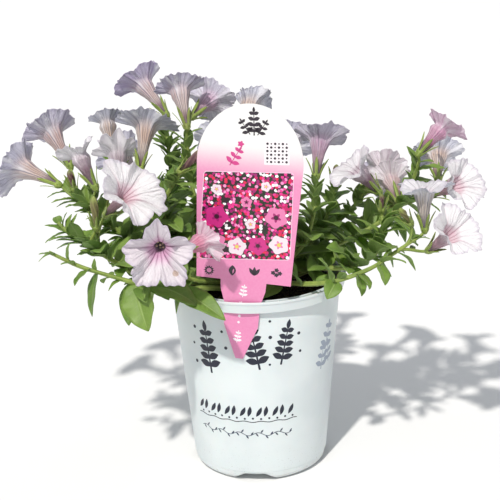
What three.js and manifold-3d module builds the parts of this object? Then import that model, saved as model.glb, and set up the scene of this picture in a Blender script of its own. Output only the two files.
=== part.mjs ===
// A petunia in bloom in a tall white nursery pot, with a stake label held in the pot's rim.
// Millimetres, +Z up. The origin is the centre of the pot's base, on the surface it stands on, and -Y is
// the front. The pot is one moulding: a foot ring with four wide drainage notches, a raised channel, a flat
// centre pad, a tapered wall, and three rim bands that stand off the wall to leave a slot for the label. The
// plant is a set of branching stems rooted in the soil, each with its leaves and calyxes, and the
// funnel-shaped blooms and the buds that sit in those calyxes. Leaves are placed by a seeded rule that turns
// them until they stand clear of everything else.
import * as THREE from "three";
import { mergeVertices } from "three/addons/utils/BufferGeometryUtils.js";
import Module from "manifold-3d";

const wasm = await Module();
wasm.setup();

// ---------------------------------------------------------------- driving dimensions
const GAP = 0.3; // clearance between two pieces that touch
const POT = { height: 164, topRadius: 70, lineRadius: 56.2, lineZ: 9, wall: 1.6, sides: 48 };
const FOOT = {
  radius: 51, wall: 2, flare: 2.8, flareTop: 2, line: 0.4, padRadius: 34, padTop: 2.2, channelUnder: 8,
  channelTop: 10,
};
const NOTCH = { count: 4, angle: -4, bottomWidth: 40, topWidth: 15, height: 7.2, drainRadius: 4 };
const BAND = {
  slot: 2.7, thick: 1.2, height: 9.4, middles: [-4, 116, 236], halfAngle: 52, ribs: [-50.9, 20, 50.9],
  ribWidth: 1.8, ribDrop: 0.6,
};
const SOIL = { top: 150, crown: 3, rootDepth: 12 };
const TAG = {
  thick: 0.6, angle: -7.5, slotZ: 160, stakeLength: 67.5, springline: 163, height: 210,
  halfWidth: 36.6, topHalfWidth: 39.8, turn: 5.5, shift: 46,
  stake: [[3, 0], [13.4, 29], [14, 48], [17.4, 60], [17.8, 67.5]],
};
const BLOOM = { wall: 0.8, tubeSides: 5, limbSides: 15, ruffle: 0.07 };
const CALYX = { lobes: 5, cup: 3.6, cupLength: 5, inner: 2.9, reach: 13, spread: 9 };
const STALK = { radius: 1.3, sides: 5 };
const STEM = { rootRadius: 2.3, tipRadius: 1.4, sides: 5, steps: 7, riseAboveSoil: 6 };
const LEAF = {
  thick: 0.7, fold: 16, foldedFrom: 36, stations: [0, 0.34, 0.72], smallFrom: 19, smallStations: [0, 0.48],
  reach: 2.5, seed: 829,
};

// Corolla rings: the share of the length, then the radius: in mm in the tube, as a share of it in the limb.
const TUBE_RINGS = [[0, 2.2], [0.5, 5.4]];
const LIMB_RINGS = [[0.82, 0.4], [1, 1]];

// ---------------------------------------------------------------- the plant's layout
// Each stem, numbered in this order: its root on the soil, the number of leaves that it bears, the share of
// its length that they start from, the lengths of the first and the last of them, and its way points.
const STEMS = [
  { root: [-17, -17], leaves: 8, from: 0.3, big: 42, tip: 18,
    way: [[-38, -34, 166], [-62, -44, 172], [-84, -54, 178], [-106, -64, 196], [-122, -66, 208],
      [-138, -60, 216], [-150, -54, 226]] },
  { root: [-12, -26], leaves: 5, from: 0.5, big: 24, tip: 14,
    way: [[-34, -54, 170], [-58, -74, 176], [-82, -84, 184], [-106, -88, 193], [-130, -89, 202],
      [-152, -90, 214]] },
  { root: [-26, -5], leaves: 7, from: 0.18, big: 40, tip: 18,
    way: [[-52, -14, 172], [-84, -20, 190], [-112, -24, 212], [-134, -20, 229], [-150, -12, 240]] },
  { root: [-9, -9], leaves: 7, from: 0.24, big: 42, tip: 18,
    way: [[-36, -14, 176], [-62, -22, 202], [-70, -34, 226], [-64, -42, 246], [-55, -46, 260]] },
  { root: [-13, 9], leaves: 6, from: 0.2, big: 42, tip: 18,
    way: [[-44, 26, 178], [-66, 44, 210], [-72, 60, 242], [-74, 70, 268]] },
  { root: [-25, 15], leaves: 6, from: 0.2, big: 42, tip: 18,
    way: [[-56, 30, 174], [-90, 46, 200], [-108, 54, 222], [-117, 62, 238]] },
  { root: [-4, 2], leaves: 6, from: 0.2, big: 40, tip: 18,
    way: [[-22, 6, 178], [-42, 8, 208], [-52, 14, 242], [-53, 19, 270]] },
  { root: [-3, -19], leaves: 4, from: 0.3, big: 38, tip: 24,
    way: [[-18, -36, 168], [-40, -50, 174], [-60, -58, 184], [-70, -62, 198]] },
  { root: [4, 12], leaves: 6, from: 0.16, big: 42, tip: 18,
    way: [[6, 24, 184], [6, 30, 216], [0, 34, 250]] },
  { root: [8, -8], leaves: 7, from: 0.2, big: 42, tip: 18,
    way: [[24, -20, 176], [41, -27, 198], [49, -18, 222], [51, -8, 236]] },
  { root: [16, 4], leaves: 6, from: 0.22, big: 42, tip: 18,
    way: [[34, 3, 174], [48, 3, 190], [60, 6, 210], [65, 8, 232]] },
  { root: [14, 15], leaves: 6, from: 0.2, big: 42, tip: 18,
    way: [[42, 22, 178], [68, 22, 198], [83, 18, 214], [89, 10, 226]] },
  { root: [20, -8], leaves: 7, from: 0.24, big: 42, tip: 18,
    way: [[46, -24, 173], [76, -34, 178], [96, -32, 188], [102, -26, 204], [102, -21, 216]] },
  { root: [10, -22], leaves: 6, from: 0.26, big: 36, tip: 20,
    way: [[24, -42, 168], [44, -58, 173], [64, -66, 178], [90, -62, 186], [108, -52, 194],
      [124, -42, 201]] },
  { root: [26, 1], leaves: 7, from: 0.2, big: 42, tip: 18,
    way: [[54, 2, 178], [92, 0, 198], [118, 2, 216], [129, 6, 238], [133, 1, 254]] },
  { root: [24, 16], leaves: 6, from: 0.2, big: 42, tip: 18,
    way: [[58, 36, 177], [98, 44, 198], [130, 42, 208], [150, 38, 220]] },
  { root: [7, 26], leaves: 6, from: 0.16, big: 42, tip: 22,
    way: [[20, 54, 174], [28, 82, 192], [27, 98, 212]] },
  { root: [-6, 24], leaves: 5, from: 0.16, big: 42, tip: 22,
    way: [[-16, 54, 175], [-24, 86, 194], [-26, 102, 214]] },
  { root: [-20, 26], leaves: 6, from: 0.16, big: 42, tip: 22,
    way: [[-46, 54, 175], [-78, 80, 194], [-98, 93, 210]] },
];

// Each bloom: the seat in its calyx, the way it faces (azimuth from the front, to the right; elevation), its
// length and limb radius, the number of the stem that bears it, the share of that stem, and its spin.
const BLOOMS = [
  { seat: [-157, -10, 245], faces: [-108, 22], length: 39, limb: 25, stem: 3, at: 0.97, spin: 10 },
  { seat: [-150, 15, 254], faces: [-138, 47], length: 40, limb: 24, stem: 3, at: 0.88, spin: 40 },
  { seat: [-124, -28, 248], faces: [-129, 56], length: 34, limb: 16, stem: 3, at: 0.74, spin: 5 },
  { seat: [-122, 70, 250], faces: [-160, 61], length: 34, limb: 16, stem: 6, at: 1, spin: 30 },
  { seat: [-91, 8, 252], faces: [166, 58], length: 45, limb: 25, stem: 4, at: 0.52, spin: 0 },
  { seat: [-75, 72, 282], faces: [-130, 42], length: 43, limb: 23, stem: 5, at: 1, spin: 20 },
  { seat: [-53, 18, 284], faces: [-161, 55], length: 39, limb: 22, stem: 7, at: 1, spin: 50 },
  { seat: [-49, 36, 287], faces: [152, 15], length: 36, limb: 22, stem: 7, at: 0.85, spin: 15 },
  { seat: [-112, -50, 231], faces: [54, 42], length: 39, limb: 28, stem: 1, at: 0.62, spin: 25 },
  { seat: [-68, -80, 222], faces: [3, -2], length: 40, limb: 28, stem: 8, at: 1, spin: 0 },
  { seat: [-53, -106, 216], faces: [126, 16], length: 28, limb: 16, stem: 8, at: 0.84, spin: 30 },
  { seat: [-111, 24, 232], faces: [-176, 55], length: 36, limb: 21, stem: 6, at: 0.8, spin: 60 },
  { seat: [-8, 40, 272], faces: [168, 35], length: 40, limb: 23, stem: 9, at: 1, spin: 0 },
  { seat: [51, 0, 245], faces: [169, 56], length: 37, limb: 24, stem: 10, at: 1, spin: 20 },
  { seat: [99, -12, 234], faces: [-79, 48], length: 32, limb: 20, stem: 12, at: 0.97, spin: 0 },
  { seat: [103, 46, 219], faces: [165, 23], length: 34, limb: 20, stem: 16, at: 0.62, spin: 35 },
  { seat: [117, 7, 221], faces: [-168, 26], length: 30, limb: 18, stem: 15, at: 0.5, spin: 10 },
  { seat: [134, 0, 262], faces: [117, 42], length: 32, limb: 14, stem: 15, at: 1, spin: 10 },
  { seat: [153, 42, 228], faces: [176, 29], length: 34, limb: 22, stem: 16, at: 1, spin: 25 },
  { seat: [134, -38, 211], faces: [-152, 84], length: 36, limb: 23, stem: 14, at: 1, spin: 5 },
  { seat: [146, 6, 225], faces: [47, 28], length: 34, limb: 22, stem: 15, at: 0.72, spin: 45 },
  { seat: [138, -42, 194], faces: [42, 38], length: 36, limb: 22, stem: 14, at: 0.86, spin: 15 },
  { seat: [24, 108, 222], faces: [168, 28], length: 40, limb: 24, stem: 17, at: 1, spin: 0 },
  { seat: [-26, 112, 226], faces: [-170, 26], length: 40, limb: 25, stem: 18, at: 1, spin: 20 },
  { seat: [-104, 98, 220], faces: [-145, 24], length: 40, limb: 24, stem: 19, at: 1, spin: 40 },
  { seat: [88, 84, 200], faces: [140, 20], length: 38, limb: 24, stem: 16, at: 0.5, spin: 10 },
];

// Each bud: as a bloom, with the spindle's greatest radius.
const BUDS = [
  { seat: [-53, -47, 264], faces: [70, 40], length: 25, radius: 3.4, stem: 4, at: 1, spin: 0 },
  { seat: [-119, -65, 226], faces: [0, 84], length: 24, radius: 3, stem: 1, at: 0.72, spin: 0 },
  { seat: [90, 12, 236], faces: [-70, 56], length: 22, radius: 3.6, stem: 12, at: 1, spin: 0 },
  { seat: [122, -40, 216], faces: [-50, 50], length: 17, radius: 2.6, stem: 14, at: 0.93, spin: 0 },
  { seat: [-142, -18, 244], faces: [-40, 76], length: 15, radius: 2.4, stem: 3, at: 0.86, spin: 0 },
  { seat: [102, -20, 222], faces: [0, 80], length: 12, radius: 2, stem: 13, at: 1, spin: 30 },
  { seat: [65, 8, 238], faces: [40, 74], length: 14, radius: 2.2, stem: 11, at: 1, spin: 0 },
];

// Leaves set by hand where the plant hangs over the rim: stem, share of it, heading, length, width and bend.
const RIM_LEAVES = [
  { stem: 2, at: 0.34, faces: [46, -2], length: 44, width: 22, bend: 34 },
  { stem: 2, at: 0.48, faces: [66, 2], length: 42, width: 25, bend: 40 },
  { stem: 2, at: 0.55, faces: [14, -40], length: 40, width: 27, bend: 30 },
  { stem: 2, at: 0.74, faces: [-30, -58], length: 34, width: 14, bend: 20 },
  { stem: 13, at: 0.42, faces: [-40, 56], length: 36, width: 24, bend: 40 },
  { stem: 13, at: 0.6, faces: [26, 40], length: 36, width: 23, bend: 36 },
  { stem: 10, at: 0.5, faces: [14, 40], length: 38, width: 24, bend: 44 },
  { stem: 15, at: 0.34, faces: [16, 40], length: 42, width: 25, bend: 44 },
  { stem: 11, at: 0.62, faces: [30, 34], length: 34, width: 21, bend: 36 },
  { stem: 14, at: 0.5, faces: [-24, -22], length: 28, width: 22, bend: 34 },
  { stem: 14, at: 0.6, faces: [44, -10], length: 32, width: 19, bend: 34 },
  { stem: 14, at: 0.72, faces: [30, -36], length: 30, width: 22, bend: 24 },
];

// ---------------------------------------------------------------- small helpers
const V = (x, y, z) => new THREE.Vector3(x, y, z);
const UP = V(0, 0, 1);
const rad = THREE.MathUtils.degToRad;
const mix = (a, b, t) => a + (b - a) * t;

// A direction from its azimuth, measured from the front to the right, and its elevation, in degrees.
function heading(azimuth, elevation) {
  const a = rad(azimuth), e = rad(elevation);
  return V(Math.sin(a) * Math.cos(e), -Math.cos(a) * Math.cos(e), Math.sin(e));
}

// Two unit vectors square to an axis, turned about it by a spin.
function sideways(axis, spin = 0) {
  const hint = Math.abs(axis.z) > 0.9 ? V(0, 1, 0) : UP;
  const side = V().crossVectors(hint, axis).normalize().applyAxisAngle(axis, rad(spin));
  return [side, V().crossVectors(axis, side)];
}

// The seeded draw that the leaf rule uses: a 32-bit linear congruential generator, giving 0 to 1.
function seeded(seed) {
  let state = seed >>> 0;
  return () => {
    state = (Math.imul(state, 1664525) + 1013904223) >>> 0;
    return state / 4294967296;
  };
}

// A closed solid from points and triangles, joined where vertices meet.
function solid(points, triangles) {
  const geometry = new THREE.BufferGeometry();
  const flat = points.flatMap((p) => [p.x, p.y, p.z]);
  geometry.setAttribute("position", new THREE.Float32BufferAttribute(flat, 3));
  geometry.setIndex(triangles.flat());
  return solidOf(geometry);
}

// The same from a three.js geometry: seams are merged and the triangles that this closes up are dropped.
function solidOf(geometry) {
  const bare = geometry.clone();
  bare.deleteAttribute("normal");
  bare.deleteAttribute("uv");
  const merged = mergeVertices(bare, 1e-4);
  const index = [];
  for (let i = 0; i < merged.index.count; i += 3) {
    const [a, b, c] = [0, 1, 2].map((k) => merged.index.getX(i + k));
    if (a !== b && b !== c && a !== c) index.push(a, b, c);
  }
  return new wasm.Manifold(new wasm.Mesh({
    numProp: 3,
    vertProperties: new Float32Array(merged.attributes.position.array),
    triVerts: new Uint32Array(index),
  }));
}

function meshOf(name, made, material) {
  const mesh = made.getMesh();
  const geometry = new THREE.BufferGeometry();
  geometry.setAttribute("position", new THREE.BufferAttribute(new Float32Array(mesh.vertProperties), 3));
  geometry.setIndex(new THREE.BufferAttribute(new Uint32Array(mesh.triVerts), 1));
  geometry.computeVertexNormals();
  const out = new THREE.Mesh(geometry, material);
  out.name = name;
  return out;
}

const join = (solids) => solids.reduce((all, one) => all.add(one));

// The faces that join each ring of points to the next, which may hold more or fewer, with capped ends.
function skinFaces(rings, capEnd = true) {
  const starts = [];
  rings.reduce((n, ring) => (starts.push(n), n + ring.length), 0);
  const triangles = [];
  for (let r = 0; r + 1 < rings.length; r++) {
    const [a, b] = [starts[r], starts[r + 1]];
    const [na, nb] = [rings[r].length, rings[r + 1].length];
    const n = Math.max(na, nb);
    for (let i = 0; i < n; i++) {
      const j = (i + 1) % n;
      const [a0, a1] = [a + Math.floor((i * na) / n), a + Math.floor((j * na) / n)];
      const [b0, b1] = [b + Math.floor((i * nb) / n), b + Math.floor((j * nb) / n)];
      if (a0 !== a1) triangles.push([a0, a1, b1]);
      if (b0 !== b1) triangles.push([a0, b1, b0]);
    }
  }
  for (let i = 1; i + 1 < rings[0].length; i++) triangles.push([0, i + 1, i]);
  const last = starts.at(-1);
  for (let i = 1; capEnd && i + 1 < rings.at(-1).length; i++) triangles.push([last, last + i, last + i + 1]);
  return triangles;
}

const skin = (rings) => solid(rings.flat(), skinFaces(rings));

// The rings of a tube along points, with a radius at each and a frame carried along so that it never twists.
function tubeRings(path, radii, sides, endSide = null) {
  const along = path.map((_, i) => V().subVectors(
    path[Math.min(i + 1, path.length - 1)], path[Math.max(i - 1, 0)]).normalize());
  const frames = [];
  let side = endSide ?? sideways(along.at(-1))[0];
  for (let i = path.length - 1; i >= 0; i--) {
    side = side.clone().addScaledVector(along[i], -side.dot(along[i])).normalize();
    frames.unshift([side, V().crossVectors(along[i], side)]);
  }
  return path.map((p, i) => Array.from({ length: sides }, (_, k) => {
    const a = (2 * Math.PI * k) / sides;
    return p.clone().addScaledVector(frames[i][0], radii[i] * Math.cos(a))
      .addScaledVector(frames[i][1], radii[i] * Math.sin(a));
  }));
}

const tube = (path, radii, sides) => skin(tubeRings(path, radii, sides));

// ---------------------------------------------------------------- routes
const curves = STEMS.map(({ root: [x, y], way }) => new THREE.CatmullRomCurve3(
  [V(x, y, SOIL.top + STEM.riseAboveSoil), ...way.map((p) => V(...p))], false, "catmullrom", 0.5));

// The stalk leaves its stem, and runs straight into the calyx that holds the flower.
function stalkRoute(flower) {
  const start = curves[flower.stem - 1].getPoint(flower.at);
  const leaves = curves[flower.stem - 1].getTangent(flower.at);
  const end = V(...flower.seat).addScaledVector(heading(...flower.faces), -GAP);
  const reach = start.distanceTo(end) * 0.4;
  return new THREE.CubicBezierCurve3(
    start, start.clone().addScaledVector(leaves, reach),
    end.clone().addScaledVector(heading(...flower.faces), -Math.max(reach, CALYX.cupLength + 1)), end);
}

const flowers = [...BLOOMS, ...BUDS];
const stalks = flowers.map(stalkRoute);

// ---------------------------------------------------------------- leaf placing rule
// Round samples of what already stands: [point, radius, stem number that owns it].
const taken = [];
const claim = (point, radius, owner) => taken.push([point, radius, owner]);

STEMS.forEach((stem, i) => {
  for (let k = 0; k <= 30; k++) claim(curves[i].getPoint(k / 30), 2.6, i + 1);
});
flowers.forEach((flower, i) => {
  for (let k = 1; k <= 12; k++) claim(stalks[i].getPoint(k / 12), 2.6, flower.stem);
  const axis = heading(...flower.faces);
  const seat = V(...flower.seat);
  const along = (share) => seat.clone().addScaledVector(axis, share * flower.length);
  claim(along(0.12), 6.5, 0);
  claim(along(0.3), 6, 0);
  claim(along(0.55), 7, 0);
  if (!flower.limb) {
    claim(along(0.85), 4, 0);
    return;
  }
  claim(along(0.8), 11, 0);
  const [u, w] = sideways(axis);
  for (const [share, n, lift] of [[0.6, 8, 0.9], [0.95, 14, 0.97]]) {
    for (let k = 0; k < n; k++) {
      const a = (2 * Math.PI * k) / n;
      const r = share * flower.limb;
      claim(along(lift).addScaledVector(u, r * Math.cos(a)).addScaledVector(w, r * Math.sin(a)), 6, 0);
    }
  }
});

// A leaf: its foot, the way it sets out, the way its upper face looks, its sizes and how far it bends down.
const leafShape = (s) => 2.79 * Math.pow(s, 0.9) * Math.pow(1 - s, 0.62);

function leafPoint(leaf, s, q) {
  const bend = rad(leaf.bend);
  const turn = bend * s;
  const run = (leaf.length * Math.sin(turn)) / bend;
  const drop = (leaf.length * (1 - Math.cos(turn))) / bend;
  const across = V().crossVectors(leaf.out, leaf.face);
  const half = (leaf.width / 2) * Math.max(leafShape(s), 0.1 * (1 - s));
  const lift = half * Math.abs(q) * Math.sin(rad(LEAF.fold));
  return leaf.foot.clone()
    .addScaledVector(leaf.out, run + lift * Math.sin(turn))
    .addScaledVector(leaf.face, lift * Math.cos(turn) - drop)
    .addScaledVector(across, q * half * Math.cos(rad(LEAF.fold)));
}

function leafSamples(leaf) {
  const out = [];
  for (let k = 2; k <= 10; k++) {
    for (const q of [-1, -0.5, 0, 0.5, 1]) out.push(leafPoint(leaf, k / 10, q));
  }
  return out;
}

// Whether a point keeps clear of the pot's rim, the soil and the label.
function clearOfPot(p) {
  const out = Math.hypot(p.x, p.y);
  if (out < POT.topRadius - 6) return p.z > SOIL.top + SOIL.crown + 3;
  return p.z > POT.height + 3.5 || out > POT.topRadius + BAND.slot + BAND.thick + 3;
}

function clearOfTag(p) {
  const q = intoTag(p);
  return Math.abs(q.y) > 4 || Math.abs(q.x) > TAG.topHalfWidth + 3 || q.z > TAG.height + 3 || q.z < -3;
}

function fits(leaf, owner) {
  return leafSamples(leaf).every((p) => clearOfPot(p) && clearOfTag(p)
    && taken.every(([other, radius, who]) => who === owner || p.distanceTo(other) > LEAF.reach + radius));
}

function leafOn(curve, at, out, length, width, bend) {
  const along = curve.getTangent(at);
  const face = along.clone().multiplyScalar(0.5).addScaledVector(UP, 0.85);
  face.addScaledVector(out, -face.dot(out)).normalize();
  return { foot: curve.getPoint(at), out, face, length, width, bend };
}

const TRIES = [[0, 1], [35, 1], [-35, 1], [70, 0.9], [-70, 0.9], [110, 0.85], [-110, 0.85], [150, 0.75],
  [0, 0.65], [45, 0.6], [-45, 0.6], [90, 0.55], [-90, 0.55]];
const GOLDEN_TURN = 137.5;

// The leaves of every stem, in order: those set by hand, then the rule's, each turned until it stands clear.
function placeLeaves() {
  const leaves = STEMS.map(() => []);
  const keep = (i, leaf) => {
    leaves[i].push(leaf);
    for (const p of leafSamples(leaf)) claim(p, LEAF.reach, i + 1);
  };
  for (const r of RIM_LEAVES) {
    const curve = curves[r.stem - 1];
    keep(r.stem - 1, leafOn(curve, r.at, heading(...r.faces), r.length, r.width, r.bend));
  }
  STEMS.forEach((stem, i) => {
    const draw = seeded(LEAF.seed + 17 * i);
    for (let k = 0; k < stem.leaves; k++) {
      const share = k / (stem.leaves - 1);
      const at = mix(stem.from, 0.985, Math.pow(share, 0.8));
      const length = mix(stem.big, stem.tip, share) * mix(0.9, 1.12, draw());
      const width = length * mix(0.6, 0.4, share);
      const spin = k * GOLDEN_TURN + 360 * draw();
      const lean = rad(mix(66, 40, share) + 10 * draw());
      const bend = mix(50, 26, share) * mix(0.7, 1.2, draw());
      const along = curves[i].getTangent(at);
      for (const [turn, shrink] of TRIES) {
        const out = along.clone().multiplyScalar(Math.cos(lean))
          .addScaledVector(sideways(along, spin + turn)[0], Math.sin(lean)).normalize();
        const leaf = leafOn(curves[i], at, out, length * shrink, width * shrink, bend);
        if (fits(leaf, i + 1)) {
          keep(i, leaf);
          break;
        }
      }
    }
  });
  return leaves;
}

// ---------------------------------------------------------------- the label's own frame
const taper = Math.atan2(POT.topRadius - POT.lineRadius, POT.height - POT.lineZ);
const wallRadius = (z) => POT.lineRadius + (z - POT.lineZ) * Math.tan(taper);

function tagFrame() {
  const out = heading(TAG.angle, 0);
  const across = V().crossVectors(UP, out).negate().normalize();
  const face = out.clone().multiplyScalar(Math.cos(taper)).addScaledVector(UP, -Math.sin(taper));
  const rise = UP.clone().multiplyScalar(Math.cos(taper)).addScaledVector(out, Math.sin(taper));
  const right = across.clone().negate();
  const turn = rad(-TAG.turn);
  right.applyAxisAngle(face, turn);
  rise.applyAxisAngle(face, turn);
  const seat = out.clone().multiplyScalar(wallRadius(TAG.slotZ) + (GAP + TAG.thick / 2) / Math.cos(taper));
  seat.z = TAG.slotZ;
  const tip = seat.addScaledVector(rise, -TAG.shift);
  return { tip, right, face, rise };
}
const tagAxes = tagFrame();

function intoTag(p) {
  const d = p.clone().sub(tagAxes.tip);
  return V(d.dot(tagAxes.right), d.dot(tagAxes.face), d.dot(tagAxes.rise));
}

// ---------------------------------------------------------------- the made pieces
function lathe(profile, sides) {
  const points = profile.map(([r, z]) => new THREE.Vector2(r, z));
  return solidOf(new THREE.LatheGeometry(points, sides).rotateX(Math.PI / 2));
}

// An arc-shaped wall between two radii and two heights that follows the pot's taper.
function arcWall(inner, outer, low, high, from, to) {
  const steps = Math.max(1, Math.round((to - from) / (360 / POT.sides)));
  const rings = [];
  for (let i = 0; i <= steps; i++) {
    const out = heading(mix(from, to, i / steps), 0);
    const at = (extra, z) => out.clone().multiplyScalar(wallRadius(z) + extra).setZ(z);
    rings.push([at(inner, high), at(outer, high), at(outer, low), at(inner, low)]);
  }
  return skin(rings);
}

// The turned shell: centre pad, raised channel, foot ring, flared foot, wall, and back down on the inside.
function shell() {
  const { radius, wall, flare, flareTop, line, padRadius, padTop, channelUnder, channelTop } = FOOT;
  const lineInner = POT.lineRadius - POT.wall;
  return lathe([
    [0, 0], [padRadius, 0], [padRadius + 2, channelUnder], [radius - wall, channelUnder], [radius - wall, 0],
    [radius, 0], [radius + flare, flareTop], [POT.lineRadius - 2 * line, POT.lineZ / 2],
    [POT.lineRadius - line, POT.lineZ - line], [POT.lineRadius, POT.lineZ], [POT.topRadius, POT.height],
    [POT.topRadius - POT.wall, POT.height], [lineInner + 0.3, channelTop + 2], [lineInner - 2, channelTop],
    [padRadius - 0.5, channelTop], [padRadius - 2.4, padTop], [0, padTop],
  ], POT.sides);
}

// One rim band, standing off the wall on its ribs.
function rimBand(middle) {
  const [low, high] = [POT.height - BAND.height, POT.height];
  const half = THREE.MathUtils.radToDeg(BAND.ribWidth / 2 / POT.topRadius);
  const band = arcWall(
    BAND.slot, BAND.slot + BAND.thick, low, high, middle - BAND.halfAngle, middle + BAND.halfAngle);
  const ribs = BAND.ribs.map((rib) => arcWall(
    -POT.wall / 2, BAND.slot + BAND.thick / 2, low, high - BAND.ribDrop,
    middle + rib - half, middle + rib + half));
  return join([band, ...ribs]);
}

function pot() {
  let made = shell();
  for (let k = 0; k < NOTCH.count; k++) {
    const turn = rad(NOTCH.angle + (360 / NOTCH.count) * k);
    made = made.subtract(notch(turn)).subtract(drainHole(turn));
  }
  return join([made, ...BAND.middles.map(rimBand)]);
}

// A trapezoid opening through the foot ring, facing out at an angle from the front.
function notch(turn) {
  const [wide, narrow] = [NOTCH.bottomWidth / 2, NOTCH.topWidth / 2];
  const corners = [[-wide, -1], [wide, -1], [narrow, NOTCH.height], [-narrow, NOTCH.height]];
  const shape = new THREE.Shape(corners.map(([x, y]) => new THREE.Vector2(x, y)));
  const cutter = new THREE.ExtrudeGeometry(shape, { depth: FOOT.radius, bevelEnabled: false });
  cutter.rotateX(Math.PI / 2).translate(0, -(FOOT.padRadius + 5), 0).rotateZ(turn);
  return solidOf(cutter);
}

function drainHole(turn) {
  const across = (FOOT.padRadius + FOOT.radius) / 2;
  const cutter = new THREE.CylinderGeometry(NOTCH.drainRadius, NOTCH.drainRadius, 30, 10);
  return solidOf(cutter.rotateX(Math.PI / 2).translate(0, -across, 0).rotateZ(turn));
}

// The soil fills the pot, with a low crown and a plain hole for each stem.
function soil() {
  const side = POT.wall / Math.cos(taper) + GAP;
  const low = FOOT.channelTop + 2.6;
  const [pad, channel] = [FOOT.padTop + GAP, FOOT.channelTop + GAP];
  let made = lathe([
    [0, pad], [FOOT.padRadius - 3, pad], [FOOT.padRadius - 1, channel],
    [wallRadius(low) - side - 2.4, channel], [wallRadius(low) - side, low],
    [wallRadius(SOIL.top) - side, SOIL.top - 1], [38, SOIL.top + SOIL.crown * 0.7],
    [0, SOIL.top + SOIL.crown],
  ], 28);
  for (const { root: [x, y] } of STEMS) {
    const radius = (STEM.rootRadius + GAP) / Math.cos(Math.PI / 6);
    const hole = new THREE.CylinderGeometry(radius, radius, 40, 6);
    hole.rotateX(Math.PI / 2).translate(x, y, SOIL.top + SOIL.crown - SOIL.rootDepth - GAP + 20);
    made = made.subtract(solidOf(hole));
  }
  return made;
}

// The label: a stake, square shoulders and an arched top, cut from one flat sheet.
function tag() {
  const edge = [...TAG.stake, [TAG.halfWidth, TAG.stakeLength], [TAG.topHalfWidth, TAG.springline]];
  const shape = new THREE.Shape();
  shape.moveTo(...edge[0]);
  for (const [x, y] of edge.slice(1)) shape.lineTo(x, y);
  shape.absellipse(0, TAG.springline, TAG.topHalfWidth, TAG.height - TAG.springline, 0, Math.PI, false, 0);
  for (const [x, y] of edge.slice(0, -1).reverse()) shape.lineTo(-x, y);
  shape.closePath();
  const sheet = { depth: TAG.thick, bevelEnabled: false, curveSegments: 14 };
  const flat = new THREE.ExtrudeGeometry(shape, sheet).translate(0, 0, -TAG.thick / 2);
  const place = new THREE.Matrix4().makeBasis(tagAxes.right, tagAxes.rise, tagAxes.face);
  return solidOf(flat.applyMatrix4(place.setPosition(tagAxes.tip)));
}

// ---------------------------------------------------------------- the grown pieces
// A leaf blade: a folded blade with a midrib where it is large, and a plain arched one where it is small.
function leafSolid(leaf) {
  const across = leaf.length > LEAF.foldedFrom ? [-1, 0, 1] : [-1, 1];
  const stations = leaf.length > LEAF.smallFrom ? LEAF.stations : LEAF.smallStations;
  const under = (s) => {
    const turn = rad(leaf.bend) * s;
    return leaf.face.clone().multiplyScalar(-Math.cos(turn)).addScaledVector(leaf.out, -Math.sin(turn));
  };
  const rings = stations.map((s) => {
    const top = across.map((q) => leafPoint(leaf, s, q));
    return [...top, ...top.map((p) => p.clone().addScaledVector(under(s), LEAF.thick)).reverse()];
  });
  rings.push([leafPoint(leaf, 1, 0).addScaledVector(under(1), LEAF.thick / 2)]);
  return skin(rings);
}

// A flower's stalk and calyx in one closed skin: five pointed lobes stand round the flat seat of the cup.
function calyx(flower, route) {
  const axis = heading(...flower.faces);
  const [u, w] = sideways(axis, flower.spin);
  const end = route.getPoint(1);
  const round = (radius, lift, turn) => Array.from({ length: CALYX.lobes }, (_, k) => {
    const a = rad((360 / CALYX.lobes) * (k + turn));
    return end.clone().addScaledVector(axis, lift)
      .addScaledVector(u, radius * Math.cos(a)).addScaledVector(w, radius * Math.sin(a));
  });
  const short = flower.limb ? 1 : 0.75;
  const stalk = [0, 0.5].map((t) => route.getPoint(t));
  stalk.push(end.clone().addScaledVector(axis, -CALYX.cupLength));
  const rings = tubeRings(stalk, stalk.map(() => STALK.radius), STALK.sides, u);
  const points = rings.flat();
  const base = points.length - CALYX.lobes;
  const [tips, valleys, inner] = [0, 1, 2].map((n) => points.length + n * CALYX.lobes);
  points.push(...round(CALYX.spread, CALYX.reach * short, 0));
  points.push(...round(CALYX.cup, 0, 0.5), ...round(CALYX.inner, 0, 0));
  const triangles = skinFaces(rings, false);
  for (let k = 0; k < CALYX.lobes; k++) {
    const next = (k + 1) % CALYX.lobes;
    const [tip, seat] = [tips + k, inner + k];
    const [before, after] = [valleys + ((k + CALYX.lobes - 1) % CALYX.lobes), valleys + k];
    triangles.push([base + k, base + next, after], [base + k, after, tip], [base + k, tip, before]);
    triangles.push([tip, after, seat], [tip, seat, before], [seat, after, inner + next]);
    if (k > 0 && k + 1 < CALYX.lobes) triangles.push([inner, seat, inner + next]);
  }
  return solid(points, triangles);
}

function leafyStem(index, leaves) {
  const path = Array.from({ length: STEM.steps + 1 }, (_, k) => curves[index].getPoint(k / STEM.steps));
  const radii = path.map((_, k) => mix(STEM.rootRadius, STEM.tipRadius, k / STEM.steps));
  path.unshift(path[0].clone().setZ(SOIL.top + SOIL.crown - SOIL.rootDepth));
  radii.unshift(STEM.rootRadius);
  const parts = [tube(path, radii, STEM.sides)];
  for (const leaf of leaves) parts.push(leafSolid(leaf));
  flowers.forEach((flower, i) => {
    if (flower.stem === index + 1) parts.push(calyx(flower, stalks[i]));
  });
  return join(parts);
}

// The share of its full radius that the limb has at an angle: five rounded lobes with shallow notches.
const lobe = (angle) => 1 - 0.14 * Math.pow(1 - Math.abs(Math.cos(2.5 * angle)), 1.4);

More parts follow.
